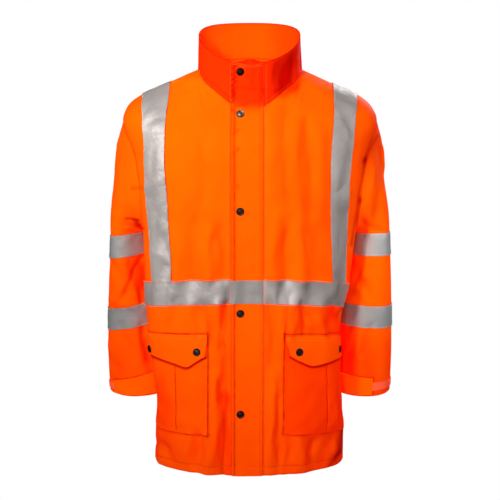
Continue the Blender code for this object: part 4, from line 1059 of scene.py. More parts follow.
def creased_body(body):
    """The quarters with creases, puckers and seams."""
    made = {}
    for (side, edge), grid in body.items():
        points, out, rows, cols = grid
        from_side = line_distance(grid, col=cols[-1])
        off = ease(np.minimum(from_side, line_distance(grid, row=rows[-1])) / 0.03)
        if edge == "front":
            height = creased(points, FRONT_CREASES, seen(points))
            middle = 0.3 + 0.7 * ease(line_distance(grid, col=1) / 0.012)
            share, lines, name, dark = 1.0, FRONT_SEWN, "cloth_front_" + side, FRONT_SHADE_LINES
        else:
            height = creased(points, BACK_CREASES, straight(points))
            middle = ease(line_distance(grid, col=0) / 0.03)
            share, lines, name, dark = 1 - ease(from_side / 0.03), BODY_SEWN, side, BODY_SHADE_LINES
        height = height * off * (0.3 + 0.7 * ease(line_distance(grid, row=0) / 0.05))
        loose = 0.0020 * wander(points, 0.15, 3, (1, 1, 0.3)) + 0.0007 * wander(points, 0.06, 5)
        height += loose * (0.25 + 0.75 * off)
        height *= middle
        height *= in_view(out)
        height += sewn(grid, lines, 11 if side == "right" else 37)
        made[side, edge] = moved(grid, height, facing(side, edge))
        # Painted shade along seams, in grooves and in soft places, and places painted a deeper red-orange
        paint_cloth_shade(name, grid, dark + SIDE_SHADE_LINES[side], height, share)
    for kept in (SHADE_PAINT, RED_SHADE):
        kept["cloth_back"] = np.concatenate([kept["right"][:, ::-1], kept["left"][:, 1:]], axis=1)
    return welded(made)


def welded(body):
    """The quarters with the same normals where they meet."""
    for side in SIDES:
        front, back = body[side, "front"], body[side, "back"]
        low = within(front[2], 0, len(LEVELS) - 1)
        front[1][low, -1] = back[1][low, -1] = unit(front[1][low, -1] + back[1][low, -1])
        over = front[3] > NECK_COLUMN + SAME
        front[1][-1, over] = back[1][-1, over] = unit(front[1][-1, over] + back[1][-1, over])
    left, right = body["left", "back"], body["right", "back"]
    left[0][:, 0] = right[0][:, 0] = (left[0][:, 0] + right[0][:, 0]) / 2
    left[1][:, 0] = right[1][:, 0] = unit(left[1][:, 0] + right[1][:, 0])
    return body


def armhole_ring(front, back):
    """The armhole's points, normals and places, round from the shoulder tip by the front."""
    under = len(LEVELS) - 1
    f, b = front[2] > under - SAME, (back[2] > under + SAME) & (back[2] < LAST_ROW - SAME)
    hole, out = (np.concatenate([front[k][f, -1][::-1], back[k][b, -1]]) for k in range(2))
    return hole, out, np.concatenate([LAST_ROW - front[2][f][::-1], ARMHOLE_ROWS + back[2][b] - under])


def sleeve_ring(side, k, spots):
    """Points of one level ring, from the outermost round the front."""
    row = {name: SLEEVE[name][k] for name in SLEEVE}
    turn = math.radians(row["turn"])
    reach = math.hypot(row["half"] * math.cos(turn), row["deep"] * math.sin(turn))
    middle = row["outer"] - reach
    angle = -spots * 2 * math.pi / SLEEVE_COLUMNS
    wide, deep = row["half"] * np.cos(angle), row["deep"] * np.sin(angle)
    x = wide * math.cos(turn) - deep * math.sin(turn)
    y = wide * math.sin(turn) + deep * math.cos(turn)
    z = row["z"] - row["tilt_" + side] * x - row["sag"] * np.sin(angle) ** 2
    return np.array([SIDES[side] * (middle + x), row["y"] + y, z]).T


def sleeve_rows(side, hole, level, out, spots):
    """Rings of a sleeve, from the armhole to the cuff. level: the armhole without creases."""
    into = unit(np.cross(np.roll(level, -1, axis=0) - np.roll(level, 1, axis=0), out))
    into *= np.sign(((level.mean(axis=0) - level) * into).sum(axis=1))[:, None]
    turn = np.cos(spots * 2 * math.pi / SLEEVE_COLUMNS)
    top, bottom = np.maximum(turn, 0)[:, None], np.maximum(-turn, 0)[:, None]
    flank = 1 - top - bottom
    # The cloth leaves the armhole inwards at the top, downwards below
    lead = into * (top + 0.45 * flank) + out * (0.35 * flank + 0.75 * bottom)
    lead = unit(lead + np.array([0, 0, -1]) * (0.1 * top + 0.65 * flank + 0.9 * bottom))
    rings = [sleeve_ring(side, k, spots) for k in range(len(SLEEVE["z"]))]
    end = unit(rings[1] - rings[0])
    start = hole + GAP * into
    span = np.linalg.norm(rings[0] - start, axis=1, keepdims=True)
    head = []
    # Curves from the armhole, along lead, to the first ring, along end
    for f in np.linspace(0, 1, SLEEVE_HEAD_ROWS + 1)[:-1]:
        ring = blend(start, rings[0], ease(f)) + f * (1 - f) * span * ((1 - f) * lead - f * end)
        ring[:, 0] += SIDES[side] * SLEEVE_HEAD[side] * math.sin(math.pi * f) * top[:, 0]
        head.append(ring)
    return np.array(head + rings)


def cuff_shade_lines(side):
    """Painted shade in dark lines round the edges of the cuff's tab."""
    low, high = (SLEEVE_HEAD_ROWS + k for k in CUFF_TAB_RINGS)
    end = CUFF_TAB_END[side]
    return (
        *(("row", row, end, ARMHOLE_ROWS, 0.0030, 0.8) for row in (low, high)),
        ("col", end, low, high, 0.0040, 1.0),
    )


def fine_sleeve(side, body, plain):
    """A sleeve on its finer grid, with its creases."""
    hole, _, spots = armhole_ring(body[side, "front"], body[side, "back"])
    level, out, _ = armhole_ring(plain[side, "front"], plain[side, "back"])
    coarse = sleeve_rows(side, hole, level, out, spots)
    rows = ticks(len(coarse), FINER, SLEEVE_ROW_MARKS)
    points = np.einsum("ri,ijk->rjk", weights(rows, len(coarse)), longer(coarse))
    grid = points, fine_normals(points, rows, spots, True) * SIDES[side], rows, spots
    front = ease((0.35 - grid[1][..., 1]) / 0.5)
    height = front * creased(points, FRONT_CREASES, seen(points))
    height += front * creased(points, SLEEVE_CREASES, seen(points))
    height += (1 - front) * creased(points, SLEEVE_BACK_CREASES, straight(points * (SIDES[side], 1, 1)))
    height += 0.0014 * wander(points, 0.11, 17, (1, 1, 0.5)) + 0.0006 * wander(points, 0.05, 19)
    height *= ease(rows / 1.2)[:, None] * in_view(grid[1])
    height += sewn(grid, SLEEVE_SEWN, 53 if side == "right" else 71)
    # Painted shade along seams, round the cuff's tab, in grooves and in soft places
    paint_cloth_shade("cloth_sleeve_" + side, grid, SLEEVE_SHADE_LINES + cuff_shade_lines(side), height, front)
    return moved(grid, height, SIDES[side], ring=True)


def neck_ring(body):
    """The neckline's points from the right front edge round the back to the left one."""
    parts = []
    for side in SIDES:
        front, back = body[side, "front"], body[side, "back"]
        f, b = front[3] < NECK_COLUMN + SAME, back[3] < NECK_COLUMN - SAME
        points = np.concatenate([front[0][-1, f], back[0][-1, b][::-1]])
        parts.append((points, np.concatenate([front[3][f], COLLAR_HALF - back[3][b][::-1]])))
    (right, a), (left, b) = parts
    return np.concatenate([right, left[-2::-1]]), np.concatenate([a, 2 * COLLAR_HALF - b[-2::-1]])


def fine_collar(base, spots, arch):
    """The collar's grid over the neckline. arch: how far its front's middle stands up."""
    rows = np.arange(0, COLLAR_ROWS + 0.01, 1 / 8)
    before = base[:, 1] < 0
    theta = np.arctan2(base[:, 0] / NECK_HALF, -base[:, 1] / np.where(before, NECK_FRONT, NECK_BACK))
    depth = np.where(before, RIM_FRONT, RIM_BACK)
    # The rim is low in front and high behind
    rim_z = 0.0663 - 0.0475 * np.cos(theta) - 0.0084 * np.cos(2 * theta)
    rim = np.array([RIM_HALF * np.sin(theta) - 0.001, -depth * np.cos(theta), rim_z]).T
    rim[:, 0] = np.where(np.abs(base[:, 0]) < 0.05, base[:, 0], rim[:, 0])
    way = unit(rim - base)
    rim += (arch * np.exp(-(base[:, 0] / 0.02) ** 2) * before)[:, None] * way
    t = (rows / COLLAR_ROWS)[:, None, None]
    points = blend(base + GAP * way, rim, t)
    t = t[..., 0]
    x, y, z = np.moveaxis(points, -1, 0)
    out = unit(points * (1, 1, 0))
    x0, z0, breadth, tall, height = COLLAR_DENT
    dent = np.exp(-((x - x0) / breadth) ** 4 - ((z - z0) / tall) ** 2)
    dent = dent * (y < 0) * height * np.sin(np.pi * np.clip(0.9 * t, 0, 1))
    loose = creased(points, COLLAR_CREASES, seen(points)) * ease((0.03 - y) / 0.06)
    loose += 0.0008 * wander(points, 0.07, 23, (1, 1, 0.4)) * np.sin(np.pi * np.clip(t, 0, 1))
    loose += ease((y - 0.01) / 0.03) * creased(points, COLLAR_BACK_CREASES, straight(points))
    loose = loose * ease((np.abs(x) - 0.040) / 0.012 + (y > 0))
    points = points + (dent + loose)[..., None] * out
    grid = points, out, rows, spots
    # Painted shade in grooves and soft places on the collar's front, and along its seams all round
    dark = shaded(painted_shade_lines(grid, COLLAR_SHADE_LINES, loose, 0.2), points, COLLAR_SHADE)
    SHADE_PAINT["cloth_collar"] = np.where(points[..., 1] < 0, dark, painted_shade_lines(grid, COLLAR_SHADE_LINES))
    return points, -fine_normals(points, rows, spots), rows, spots


def slope(points, axis, ring=False):
    """Direction of a grid's lines at each point, however uneven its steps are."""
    p = np.moveaxis(points, axis, 0)
    if ring:
        p = np.concatenate([p[-1:], p, p[:1]])
    step = np.diff(p, axis=0)
    long = np.maximum(np.linalg.norm(step, axis=-1, keepdims=True), 1e-9)
    way = step / long
    mid = (way[:-1] * long[1:] + way[1:] * long[:-1]) / (long[:-1] + long[1:])
    if len(way) == 1:
        mid = np.concatenate([way, way])
    elif not ring:
        mid = np.concatenate([2 * way[:1] - mid[:1], mid, 2 * way[-1:] - mid[-1:]])
    return np.moveaxis(mid, 0, axis)


def mesh_of(name, verts, faces):
    """A mesh of these points and faces."""
    mesh = bpy.data.meshes.new(name)
    mesh.from_pydata(verts.tolist(), [], faces)
    return mesh


def shell(name, replaces, points, out, wall, look, outwards=True, ring=False):
    """A closed thin sheet between its inner and outer side, with its painted shade."""
    rows, cols = points.shape[:2]
    deep = out * wall
    inner, outer = (points, points + deep) if outwards else (points - deep, points)
    base, wide = rows * cols, cols if ring else cols - 1
    r, c = np.meshgrid(np.arange(rows - 1), np.arange(wide), indexing="ij")
    i, j = (r * cols + c).ravel(), (r * cols + (c + 1) % cols).ravel()
    face = np.stack([i, j, j + cols, i + cols], 1)
    i, j = np.arange(wide), (np.arange(wide) + 1) % cols
    low = np.stack([i, j, j + base, i + base], 1)
    faces = [face + base, face[:, [0, 3, 2, 1]], low, low[:, ::-1] + base - cols]
    if not ring:
        i = np.arange(rows - 1) * cols
        side = np.stack([i, i + base, i + cols + base, i + cols], 1)
        faces += [side, side[:, ::-1] + cols - 1]
    faces = np.concatenate(faces)
    across, up = points[:-1, 1:] - points[:-1, :-1], points[1:, :-1] - points[:-1, :-1]
    if (np.cross(across, up) * out[:-1, :-1]).sum() < 0:
        faces = faces[:, ::-1]
    mesh = mesh_of(name, np.concatenate([inner.reshape(-1, 3), outer.reshape(-1, 3)]), faces.tolist())
    run_u = run_along(points, 1)
    if not ring:
        run_u = run_u - run_u[:, cols // 2][:, None]
    cloth_uv = np.stack([run_u, run_along(points)], -1).reshape(-1, 2)
    loops = np.empty(len(mesh.loops), dtype=np.int32)
    mesh.loops.foreach_get("vertex_index", loops)
    layer = mesh.uv_layers.new(name="cloth")
    layer.data.foreach_set("uv", cloth_uv[loops % base].astype(np.float32).ravel())
    # Each point's painted shade, on the inner and outer side
    for label, kept in (("painted_shade", SHADE_PAINT), ("deep", RED_SHADE)):
        if name in kept:
            both = RED_SHADE.get(name + "_inside", 0 * kept[name]) if label == "deep" else kept[name]
            both = np.concatenate([both.ravel(), kept[name].ravel()]).astype(np.float32)
            mesh.attributes.new(label, "FLOAT", "POINT").data.foreach_set("value", both)
    dress(name, mesh, look, replaces)
    n = unit(np.cross(slope(points, 1, ring), slope(points, 0)))
    n *= np.sign((n * out).sum(axis=-1, keepdims=True))
    n = n.reshape(-1, 3)[loops % base]
    own = np.where(loops[:, None] < base, -n, n)
    # The narrow edges keep their own flat normals
    own[8 * (rows - 1) * wide:] = 0
    mesh.normals_split_custom_set(own.tolist())


def dress(name, mesh, look, replaces=(), smooth=50):
    """An object with its finish, riding on the jacket's one body."""
    obj = bpy.data.objects.new(name, mesh)
    mesh.materials.append(FINISHES[look])
    mesh.shade_smooth()
    mesh.set_sharp_from_angle(angle=math.radians(smooth))
    LOOKS.objects.link(obj)
    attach(obj, "root")
    if replaces:
        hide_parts(*replaces)
    PIECES[name] = obj


def path_on(grid, kind, place, low, high, lift=0):
    """Points and normals along one of a grid's lines, between two places on it."""
    spots = grid[2] if kind == "col" else grid[3]
    spots = np.concatenate([[low], spots[(spots > low + SAME) & (spots < high - SAME)], [high]])
    fixed = np.full(len(spots), float(place))
    here, n = between(grid, spots, fixed) if kind == "col" else between(grid, fixed, spots)
    return here + lift * unit(n), unit(n)


def shifted(path, amount):
    """The path moved sideways in the cloth by this much."""
    points, out = path
    return points + amount * unit(np.cross(np.gradient(points, axis=0), out)), out


def stitches(name, paths, look, pitch=0.0042, length=0.0029, thick=0.00042):
    """Sewing thread along paths: each stitch is a slim spindle half sunk in the cloth."""
    verts = []
    for points, out in paths:
        s = run_along(points)
        places = np.arange(pitch, s[-1] - pitch / 2, pitch)
        mid, n = read_at(places, s, points), unit(read_at(places, s, out))
        way = unit(read_at(places + 0.001, s, points) - read_at(places - 0.001, s, points))
        side = np.cross(way, n)
        # Two tips and four points round the middle of each stitch
        verts.append(np.stack([
            mid - way * length / 2 - n * thick * 0.5, mid + way * length / 2 - n * thick * 0.5,
            mid + side * thick, mid + n * thick * 1.1, mid - side * thick, mid - n * thick,
        ], 1))
    verts = np.concatenate(verts)
    ring = ((2, 3), (3, 4), (4, 5), (5, 2))
    one = np.array([face for a, b in ring for face in ((0, b, a), (1, a, b))])
    faces = (one[None] + 6 * np.arange(len(verts))[:, None, None]).reshape(-1, 3)
    dress(name, mesh_of(name, verts.reshape(-1, 3), faces.tolist()), look, smooth=80)


def turned_form(name, replaces, profile, point, out, look, steps=32):
    """A form turned about the axis out of the cloth, closed at both ends."""
    angle = np.arange(steps) * 2 * math.pi / steps
    rings = [
        np.array([radius * np.cos(angle), radius * np.sin(angle), np.full(steps, height)]).T
        for radius, height in profile[1:-1]
    ]
    verts = np.concatenate([[[0, 0, profile[0][1]]], *rings, [[0, 0, profile[-1][1]]]])
    verts = verts @ np.array(Vector(out).to_track_quat("Z", "Y").to_matrix()).T + point
    faces, last = [], 1 + (len(rings) - 1) * steps
    for k in range(steps):
        n = (k + 1) % steps
        faces.append((0, 1 + k, 1 + n))
        faces += [(a + k, a + steps + k, a + steps + n, a + n) for a in range(1, last, steps)]
        faces.append((last + k, len(verts) - 1, last + n))
    dress(name, mesh_of(name, verts, faces), look, replaces, smooth=35)


def dress_body(body):
    """The fronts and the back."""
    for side in SIDES:
        points, out = body[side, "front"][:2]
        if side == "left":
            # Painted shade: the left front is painted a deeper red-orange below the waist, away from its
            # middle
            low = ease((-0.50 - points[..., 2]) / 0.1) * ease((points[..., 0] - 0.04) / 0.05)
            RED_SHADE["cloth_front_left"] = np.maximum(RED_SHADE["cloth_front_left"], 0.2 * low)
        shell("cloth_front_" + side, ["front_" + side], drawn_in(points), out, WALL, "cloth", False)
    points, out = joined(flipped(body["right", "back"], 1), body["left", "back"], 1)
    shell("cloth_back", ["back"], drawn_in(points), out, WALL, "cloth", False)


def dress_sleeves(sleeves):
    """The sleeves with their tapes, cuff tabs and loop patches."""
    def rows(rings):
        return [SLEEVE_HEAD_ROWS + k for k in rings]

    for side, grid in sleeves.items():
        points, out = grid[:2]
        name, replaces = "cloth_sleeve_" + side, ["sleeve_" + side]
        shell(name, replaces, drawn_in(points, ring=True), out, WALL, "cloth", False, True)
        for level, rings in SLEEVE_TAPES.items():
            points, out = block(grid, rows(rings), (0, SLEEVE_COLUMNS), GAP)[:2]
            points = crinkled(points, out, 5, 0.0010)
            shell(f"band_sleeve_{level}_{side}", [f"sleeve_tape_{level}_{side}"], points, out,
                  TAPE_WALL, "tape_sleeve", ring=True)
        end = CUFF_TAB_END[side]
        points, out = block(grid, rows(CUFF_TAB_RINGS), (end, ARMHOLE_ROWS), GAP)[:2]
        shell("tab_" + side, ["cuff_tab_" + side], drawn_in(points), out, TAB_WALL, "tab")
        cols = -CUFF_PATCH_PAST, end
        points, out = block(turned_round(grid), rows(CUFF_PATCH_RINGS), cols, GAP)[:2]
        shell("loop_patch_" + side, ["cuff_patch_" + side], drawn_in(points), out, PATCH_WALL, "loop")


def crinkled(points, out, seed, tall, stretch=(1, 1, 1)):
    """A stiffer sheet with its own flat facets and crinkles, which only stand outwards."""
    wave = np.abs(wander(points, 0.06, seed, stretch)) + 0.15 * np.abs(wander(points, 0.022, seed + 1))
    wave = wave * (0.35 + 0.65 * np.abs(out[..., 1]))
    return points + (tall * wave)[..., None] * out


def taped(name, points, out, seed, tall, stretch):
    """A tape's points with its crinkles and its own creases, and its facets' painted shade."""
    SHADE_PAINT[name] = shaded(0 * points[..., 0], points, TAPE_SHADE) * (out[..., 1] < 0)
    high = np.maximum(creased(points, TAPE_CREASES, seen(points)), 0) * (out[..., 1] < 0)
    return crinkled(points + high[..., None] * out, out, seed, tall, stretch)


def dress_closure(body, collar, plain):
    """The collar, the storm flap with its tape, and the zip. Returns the flap's outer side."""
    x, y = collar[0][..., 0], collar[0][..., 1]
    # Painted shade: the collar's front is painted a deeper red-orange, its inside too and more so towards
    # its left side, and its front's middle darker
    RED_SHADE["cloth_collar"] = ease((0.05 - y) / 0.06)
    RED_SHADE["cloth_collar_inside"] = 0.28 + 0.35 * ease((x - 0.02) / 0.06)
    arch = np.exp(-(x / 0.030) ** 4) * (y < 0)
    SHADE_PAINT["cloth_collar"] = np.maximum(SHADE_PAINT["cloth_collar"], 0.45 * arch)
    shell("cloth_collar", ["collar"], *collar[:2], WALL, "cloth", False)
    points, out = centre_strip(body, plain, 1, GAP)
    relief = np.maximum(0.0006 * (1 + wander(points, 0.06, 91, (1, 1, 2))), 0)
    relief += np.maximum(creased(points, FLAP_CREASES, seen(points)), 0)
    flap = points + relief[..., None] * out
    rows, cols = body["right", "front"][2:]
    cols = cols[cols < 1 + SAME]
    cols = np.concatenate([-cols[::-1], cols])[:flap.shape[1]]
    rise = np.arange(len(flap)) - len(rows)
    # Painted shade along the flap's edges and of its puckers; its part over the collar is painted a deeper
    # red-orange
    lines = FLAP_SHADE_LINES + (("col", -0.8, -4, 99, 0.0030, 0.85), ("col", 0.8, -4, 99, 0.0016, 0.7))
    SHADE_PAINT["cloth_storm_flap"] = shaded(painted_shade_lines((flap, out, rise, cols), lines), flap, FLAP_SHADE)
    above = ease(rise[:, None] / 10 + 0.5) + 0 * flap[..., 0]
    RED_SHADE["cloth_storm_flap"] = shaded(above, flap, RED_SHADE_PLACES)
    shell("cloth_storm_flap", ["storm_flap"], flap, out, FLAP_WALL, "trim")
    face = flap + FLAP_WALL * out
    band = within(np.concatenate([rows, LAST_ROW + plain[2][1:]]), *WAIST_ROWS)
    points = face[band] + GAP * out[band]
    points = taped("band_waist_flap", points, out[band], 8, 0.0016, ALONG_WAIST)
    shell("band_waist_flap", ["waist_tape_flap"], points, out[band], TAPE_WALL, "tape_dark")
    strip, n = centre_strip(body, collar, 0, 0.0)
    # The zip's strip is painted darker and a full deeper red-orange, as painted shade
    SHADE_PAINT["zip_tape"], RED_SHADE["zip_tape"] = 0.3 + 0 * strip[..., 0], 1 + 0 * strip[..., 0]
    shell("zip_tape", ["zip"], drawn_in(strip, GAP) - 0.0010 * n, n, 0.0006, "trim", False)
    zip_teeth(strip, n)
    return face, out


def zip_teeth(points, out):
    """Moulded teeth down the middle of the zip's strip."""
    middle, n = points.mean(axis=1), out.mean(axis=1)
    s = run_along(middle)
    verts, faces = [], []
    for k, place in enumerate(np.arange(0.004, s[-1] - 0.024, 0.0026)):
        here, way = read_at(place, s, middle), read_at(place, s, n)
        up = unit(read_at(place + 0.001, s, middle) - here)
        side = np.cross(up, way)
        centre = here - 0.0006 * way + (0.0009 if k % 2 else -0.0009) * side
        faces += [[8 * k + corner for corner in face] for face in TOOTH_FACES]
        # Four corners at the back of the tooth, and four closer ones at its front
        for c, x, y in ((-1, 1, 1), (1, 0.8, 0.7)):
            for a, b in ((-x, -y), (x, -y), (x, y), (-x, y)):
                verts.append(centre + a * 0.0016 * side + b * 0.0009 * up + c * 0.00035 * way)
    dress("zip_teeth", mesh_of("zip_teeth", np.array(verts), faces), "zip", smooth=30)


def dress_tapes(body):
    """The waist tape and the brace tapes."""
    for side in SIDES:
        front, back = body[side, "front"], body[side, "back"]
        points, out = block(front, WAIST_ROWS, (1, LAST_COL), GAP)[:2]
        name = "band_waist_" + side
        points = taped(name, points, out, 21, 0.0020, ALONG_WAIST)
        shell(name, ["waist_tape_" + side], drawn_in(points), out, TAPE_WALL, "tape")
        rows = (WAIST_ROWS[1], LAST_ROW)
        fall = flipped(block(back, rows, BRACE_COLS, GAP), 0)
        points, out = joined(block(front, rows, BRACE_COLS, GAP), fall, 0)
        name = "band_brace_" + side
        points = taped(name, points, out, 33, 0.0026, (0.6, 0.6, 1))
        shell(name, ["brace_tape_" + side], drawn_in(points), out, TAPE_WALL, "tape")
    halves = [block(body[side, "back"], WAIST_ROWS, (0, LAST_COL), GAP) for side in SIDES]
    points, out = joined(flipped(halves[0], 1), halves[1], 1)
    points = crinkled(points, out, 44, 0.0032, ALONG_WAIST)
    shell("band_waist_back", ["waist_tape_back"], drawn_in(points), out, TAPE_WALL, "tape")


def resampled(grid, rows, cols):
    """The grid read at other rows and columns."""
    points, out = between(grid, rows[:, None] + 0 * cols[None], cols[None] + 0 * rows[:, None])
    return points, unit(out), rows, cols


def edge_distance(points, line):
    """Distance of each point from a line of points."""
    best = np.full(points.shape[:-1], 9.0)
    for a, b in zip(line[:-1], line[1:]):
        t = np.clip(((points - a) @ (b - a)) / ((b - a) @ (b - a)), 0, 1)
        best = np.minimum(best, np.linalg.norm(points - a - t[..., None] * (b - a), axis=-1))
    return best


def dress_pockets(body):
    """The pockets and their flaps. Returns the flaps' grids."""
    flaps = {}
    for side in SIDES:
        rows = np.unique(np.concatenate([np.linspace(*POCKET_ROWS, 91), [3.03, 3.08]]))
        cols = np.unique(np.concatenate([np.linspace(*POCKET_COLS, 91), 6 + np.linspace(-.12, .12, 9)]))
        panel = resampled(body[side, "front"], rows, cols)
        points, out = pocket(panel)
        rows = np.concatenate([rows[:1], rows])
        groove = -0.0020 * np.exp(-(0.03 * np.abs(cols - 6)[None] / 0.0016) ** 2)
        inner = ease((cols - POCKET_COLS[0]) / 0.5) * ease((POCKET_COLS[1] - cols) / 0.5)
        loose = np.maximum(0.0014 * wander(points, 0.06, 61) + 0.0009, 0) * inner[None]
        loose *= ease((6.9 - rows) / 0.7)[:, None]
        grow = ease(np.arange(len(points)) / 13)[:, None]
        points = points + ((groove * inner[None] + loose) * grow)[..., None] * out
        base = np.concatenate([panel[0][:1], panel[0]])
        points = base + (points - base) * (0.5 + 0.5 * ease((np.abs(out[..., 1:2]) - 0.2) / 0.5))
        # Painted shade along the pocket's edges and its pleat
        lines = *(("col", col, 0, 99, 0.0014, 0.6) for col in POCKET_COLS), ("col", 6, 3.3, 99, 0.0016, 0.85)
        dark = painted_shade_lines((points, out, rows, cols), lines)
        shares, flap_cols = np.linspace(1, 0, 19), ticks(7, FINER) + POCKET_COLS[0]
        flap, n = pocket_flap(side, body[side, "front"], shares, flap_cols)
        edge = flap[0] if flap[0, :, 2].mean() < flap[-1, :, 2].mean() else flap[-1]
        # Painted shadow just below the flap's lower edge, and the pocket's red-orange painted shade
        flat = [np.stack([*seen(part), 0 * part[..., 0]], -1) / 1000 for part in (points, edge)]
        below = edge_distance(flat[0], flat[1] - (0, 0.0012, 0))
        name = "cloth_pocket_" + side
        SHADE_PAINT[name] = np.maximum(dark, np.exp(-(below / 0.0036) ** 2))
        RED_SHADE[name] = shaded(POCKET_RED_SHADE[side] + 0 * points[..., 0], points, RED_SHADE_PLACES)
        shell(name, ["pocket_" + side], drawn_in(points), out, WALL, "cloth")
        flaps[side] = flap, n, shares, flap_cols
        shell("cloth_pocket_flap_" + side, ["pocket_flap_" + side], drawn_in(flap, 0.002), n,
              POCKET_FLAP_WALL, "trim")
    return flaps


def dress_snaps(face, flaps):
    """The snap caps on the storm flap and the pocket flaps."""
    points, out = face
    for i, z in enumerate(SNAP_HEIGHTS):
        middle, n = spot(points[:, ::2], out[:, ::2], SNAP_X, z)
        turned_form(f"cap_{i + 1}", [f"snap_{i + 1}"], CAP if i else CAP_PLAIN, middle + GAP * n, n,
                    ("cap_black", "cap_bright")[i] if i < 2 else "cap")
    for side in SIDES:
        points, out, _, cols = flaps[side]
        points = points + POCKET_FLAP_WALL * out
        for place, (column, share) in POCKET_SNAPS[side].items():
            k = int(np.argmin(np.abs(cols - POCKET_COLS[0] - column)))
            x, _, z = blend(points[-1, k], points[0, k], share)
            middle, n = spot(points, out, x, z)
            turned_form(f"cap_pocket_{side}_{place}", [f"snap_pocket_{side}_{place}"], CAP,
                        middle + GAP * n, n, "cap")


def node(mat, kind, **values):
    """A new node with these values on its sockets, or else as its own settings."""
    made = mat.node_tree.nodes.new("ShaderNode" + kind)
    for name, value in values.items():
        if name in made.inputs:
            made.inputs[name].default_value = value
        else:
            setattr(made, name, value)
    return made


def link(mat, a, out, b, into):
    """Joins an output of one node to an input of another."""
    mat.node_tree.links.new(a.outputs[out], b.inputs[into])


def finish(name, base, dark, rough, weave=None, sheen=0.0, metal=0.0, painted_glow=None, grain=0.25,
           shine=0.5, tint=(1, 1, 1), shade_colour=(0.05, 0.045, 0.04), deep=None):
    """A woven or smooth material: uneven colour, weave, small creases and roughness, with painted shade and
    a painted glow where given.
    """
    mat = bpy.data.materials.new(name)
    mat.use_nodes = True
    shader = mat.node_tree.nodes["Principled BSDF"]
    for socket, value in (
        ("Metallic", metal), ("Sheen Weight", sheen), ("Sheen Roughness", 0.5),
        ("Sheen Tint", (*tint, 1)), ("Specular IOR Level", shine), ("Specular Tint", (*tint, 1)),
    ):
        shader.inputs[socket].default_value = value
    place = node(mat, "TexCoord")
    # How much painted shade lies at each point
    shade_share = node(mat, "Attribute", attribute_name="painted_shade")

    def noise(**values):
        made = node(mat, "TexNoise", **values)
        link(mat, place, "Object", made, "Vector")
        return made

    def ranged(source, low, high):
        made = node(mat, "MapRange", **{"To Min": low, "To Max": high})
        link(mat, source, "Fac", made, "Value")
        return made

    def mixed(share, first, second):
        made = node(mat, "MixRGB", blend_type="MIX", Color2=(*second, 1))
        link(mat, share, "Fac", made, "Fac")
        link(mat, first, "Color", made, "Color1")
        return made

    soft = noise(Scale=9.0, Detail=5.0, Roughness=0.55)
    colour = node(mat, "ValToRGB")
    for stop, where, tone in zip(colour.color_ramp.elements, (0.25, 0.75), (dark, base)):
        stop.position, stop.color = where, (*tone, 1)
    link(mat, soft, "Fac", colour, "Fac")
    tone = node(mat, "MixRGB", blend_type="MULTIPLY", Fac=1.0)
    link(mat, colour, "Color", tone, "Color1")
    link(mat, ranged(noise(Scale=900.0, Detail=2.0), 0.94, 1.05), "Result", tone, "Color2")
    # Painted shade: the deep attribute mixes the colour towards a deeper red-orange
    if deep:
        tone = mixed(node(mat, "Attribute", attribute_name="deep"), tone, deep)
    # Painted shade mixes the colour towards the shade colour
    link(mat, mixed(shade_share, tone, shade_colour), "Color", shader, "Base Color")
    # A painted glow: the surface gives off light of its own, less where painted shade lies
    if painted_glow:
        shader.inputs["Emission Color"].default_value = (*PAINTED_GLOW, 1)
        shader.inputs["Emission Strength"].default_value = painted_glow
        glow_strength = node(mat, "Math", operation="MULTIPLY")
        glow_strength.inputs[1].default_value = painted_glow
        link(mat, ranged(shade_share, 1.0, 0.42), "Result", glow_strength, 0)
        link(mat, glow_strength, "Value", shader, "Emission Strength")
    link(mat, ranged(soft, *rough), "Result", shader, "Roughness")
    last = node(mat, "Bump", Strength=grain, Distance=0.004)
    link(mat, noise(Scale=45.0, Detail=6.0, Roughness=0.6, Distortion=0.6), "Fac", last, "Height")
    if weave:
        cloth_uv = node(mat, "UVMap", uv_map="cloth")
        both = node(mat, "Math", operation="MAXIMUM")
        for k, turn in enumerate("XY"):
            wave = node(mat, "TexWave", bands_direction=turn, Scale=weave[0], Distortion=0.15)
            link(mat, cloth_uv, "UV", wave, "Vector")
            link(mat, wave, "Fac", both, k)
        high = node(mat, "Bump", Strength=weave[1], Distance=0.0002)
        link(mat, both, "Value", high, "Height")
        link(mat, last, "Normal", high, "Normal")
        last = high
    link(mat, last, "Normal", shader, "Normal")
    return mat


def placed(name, data):
    """An object in the scene that isn't a piece of the jacket."""
    obj = bpy.data.objects.new(name, data)
    bpy.context.scene.collection.objects.link(obj)
    return obj


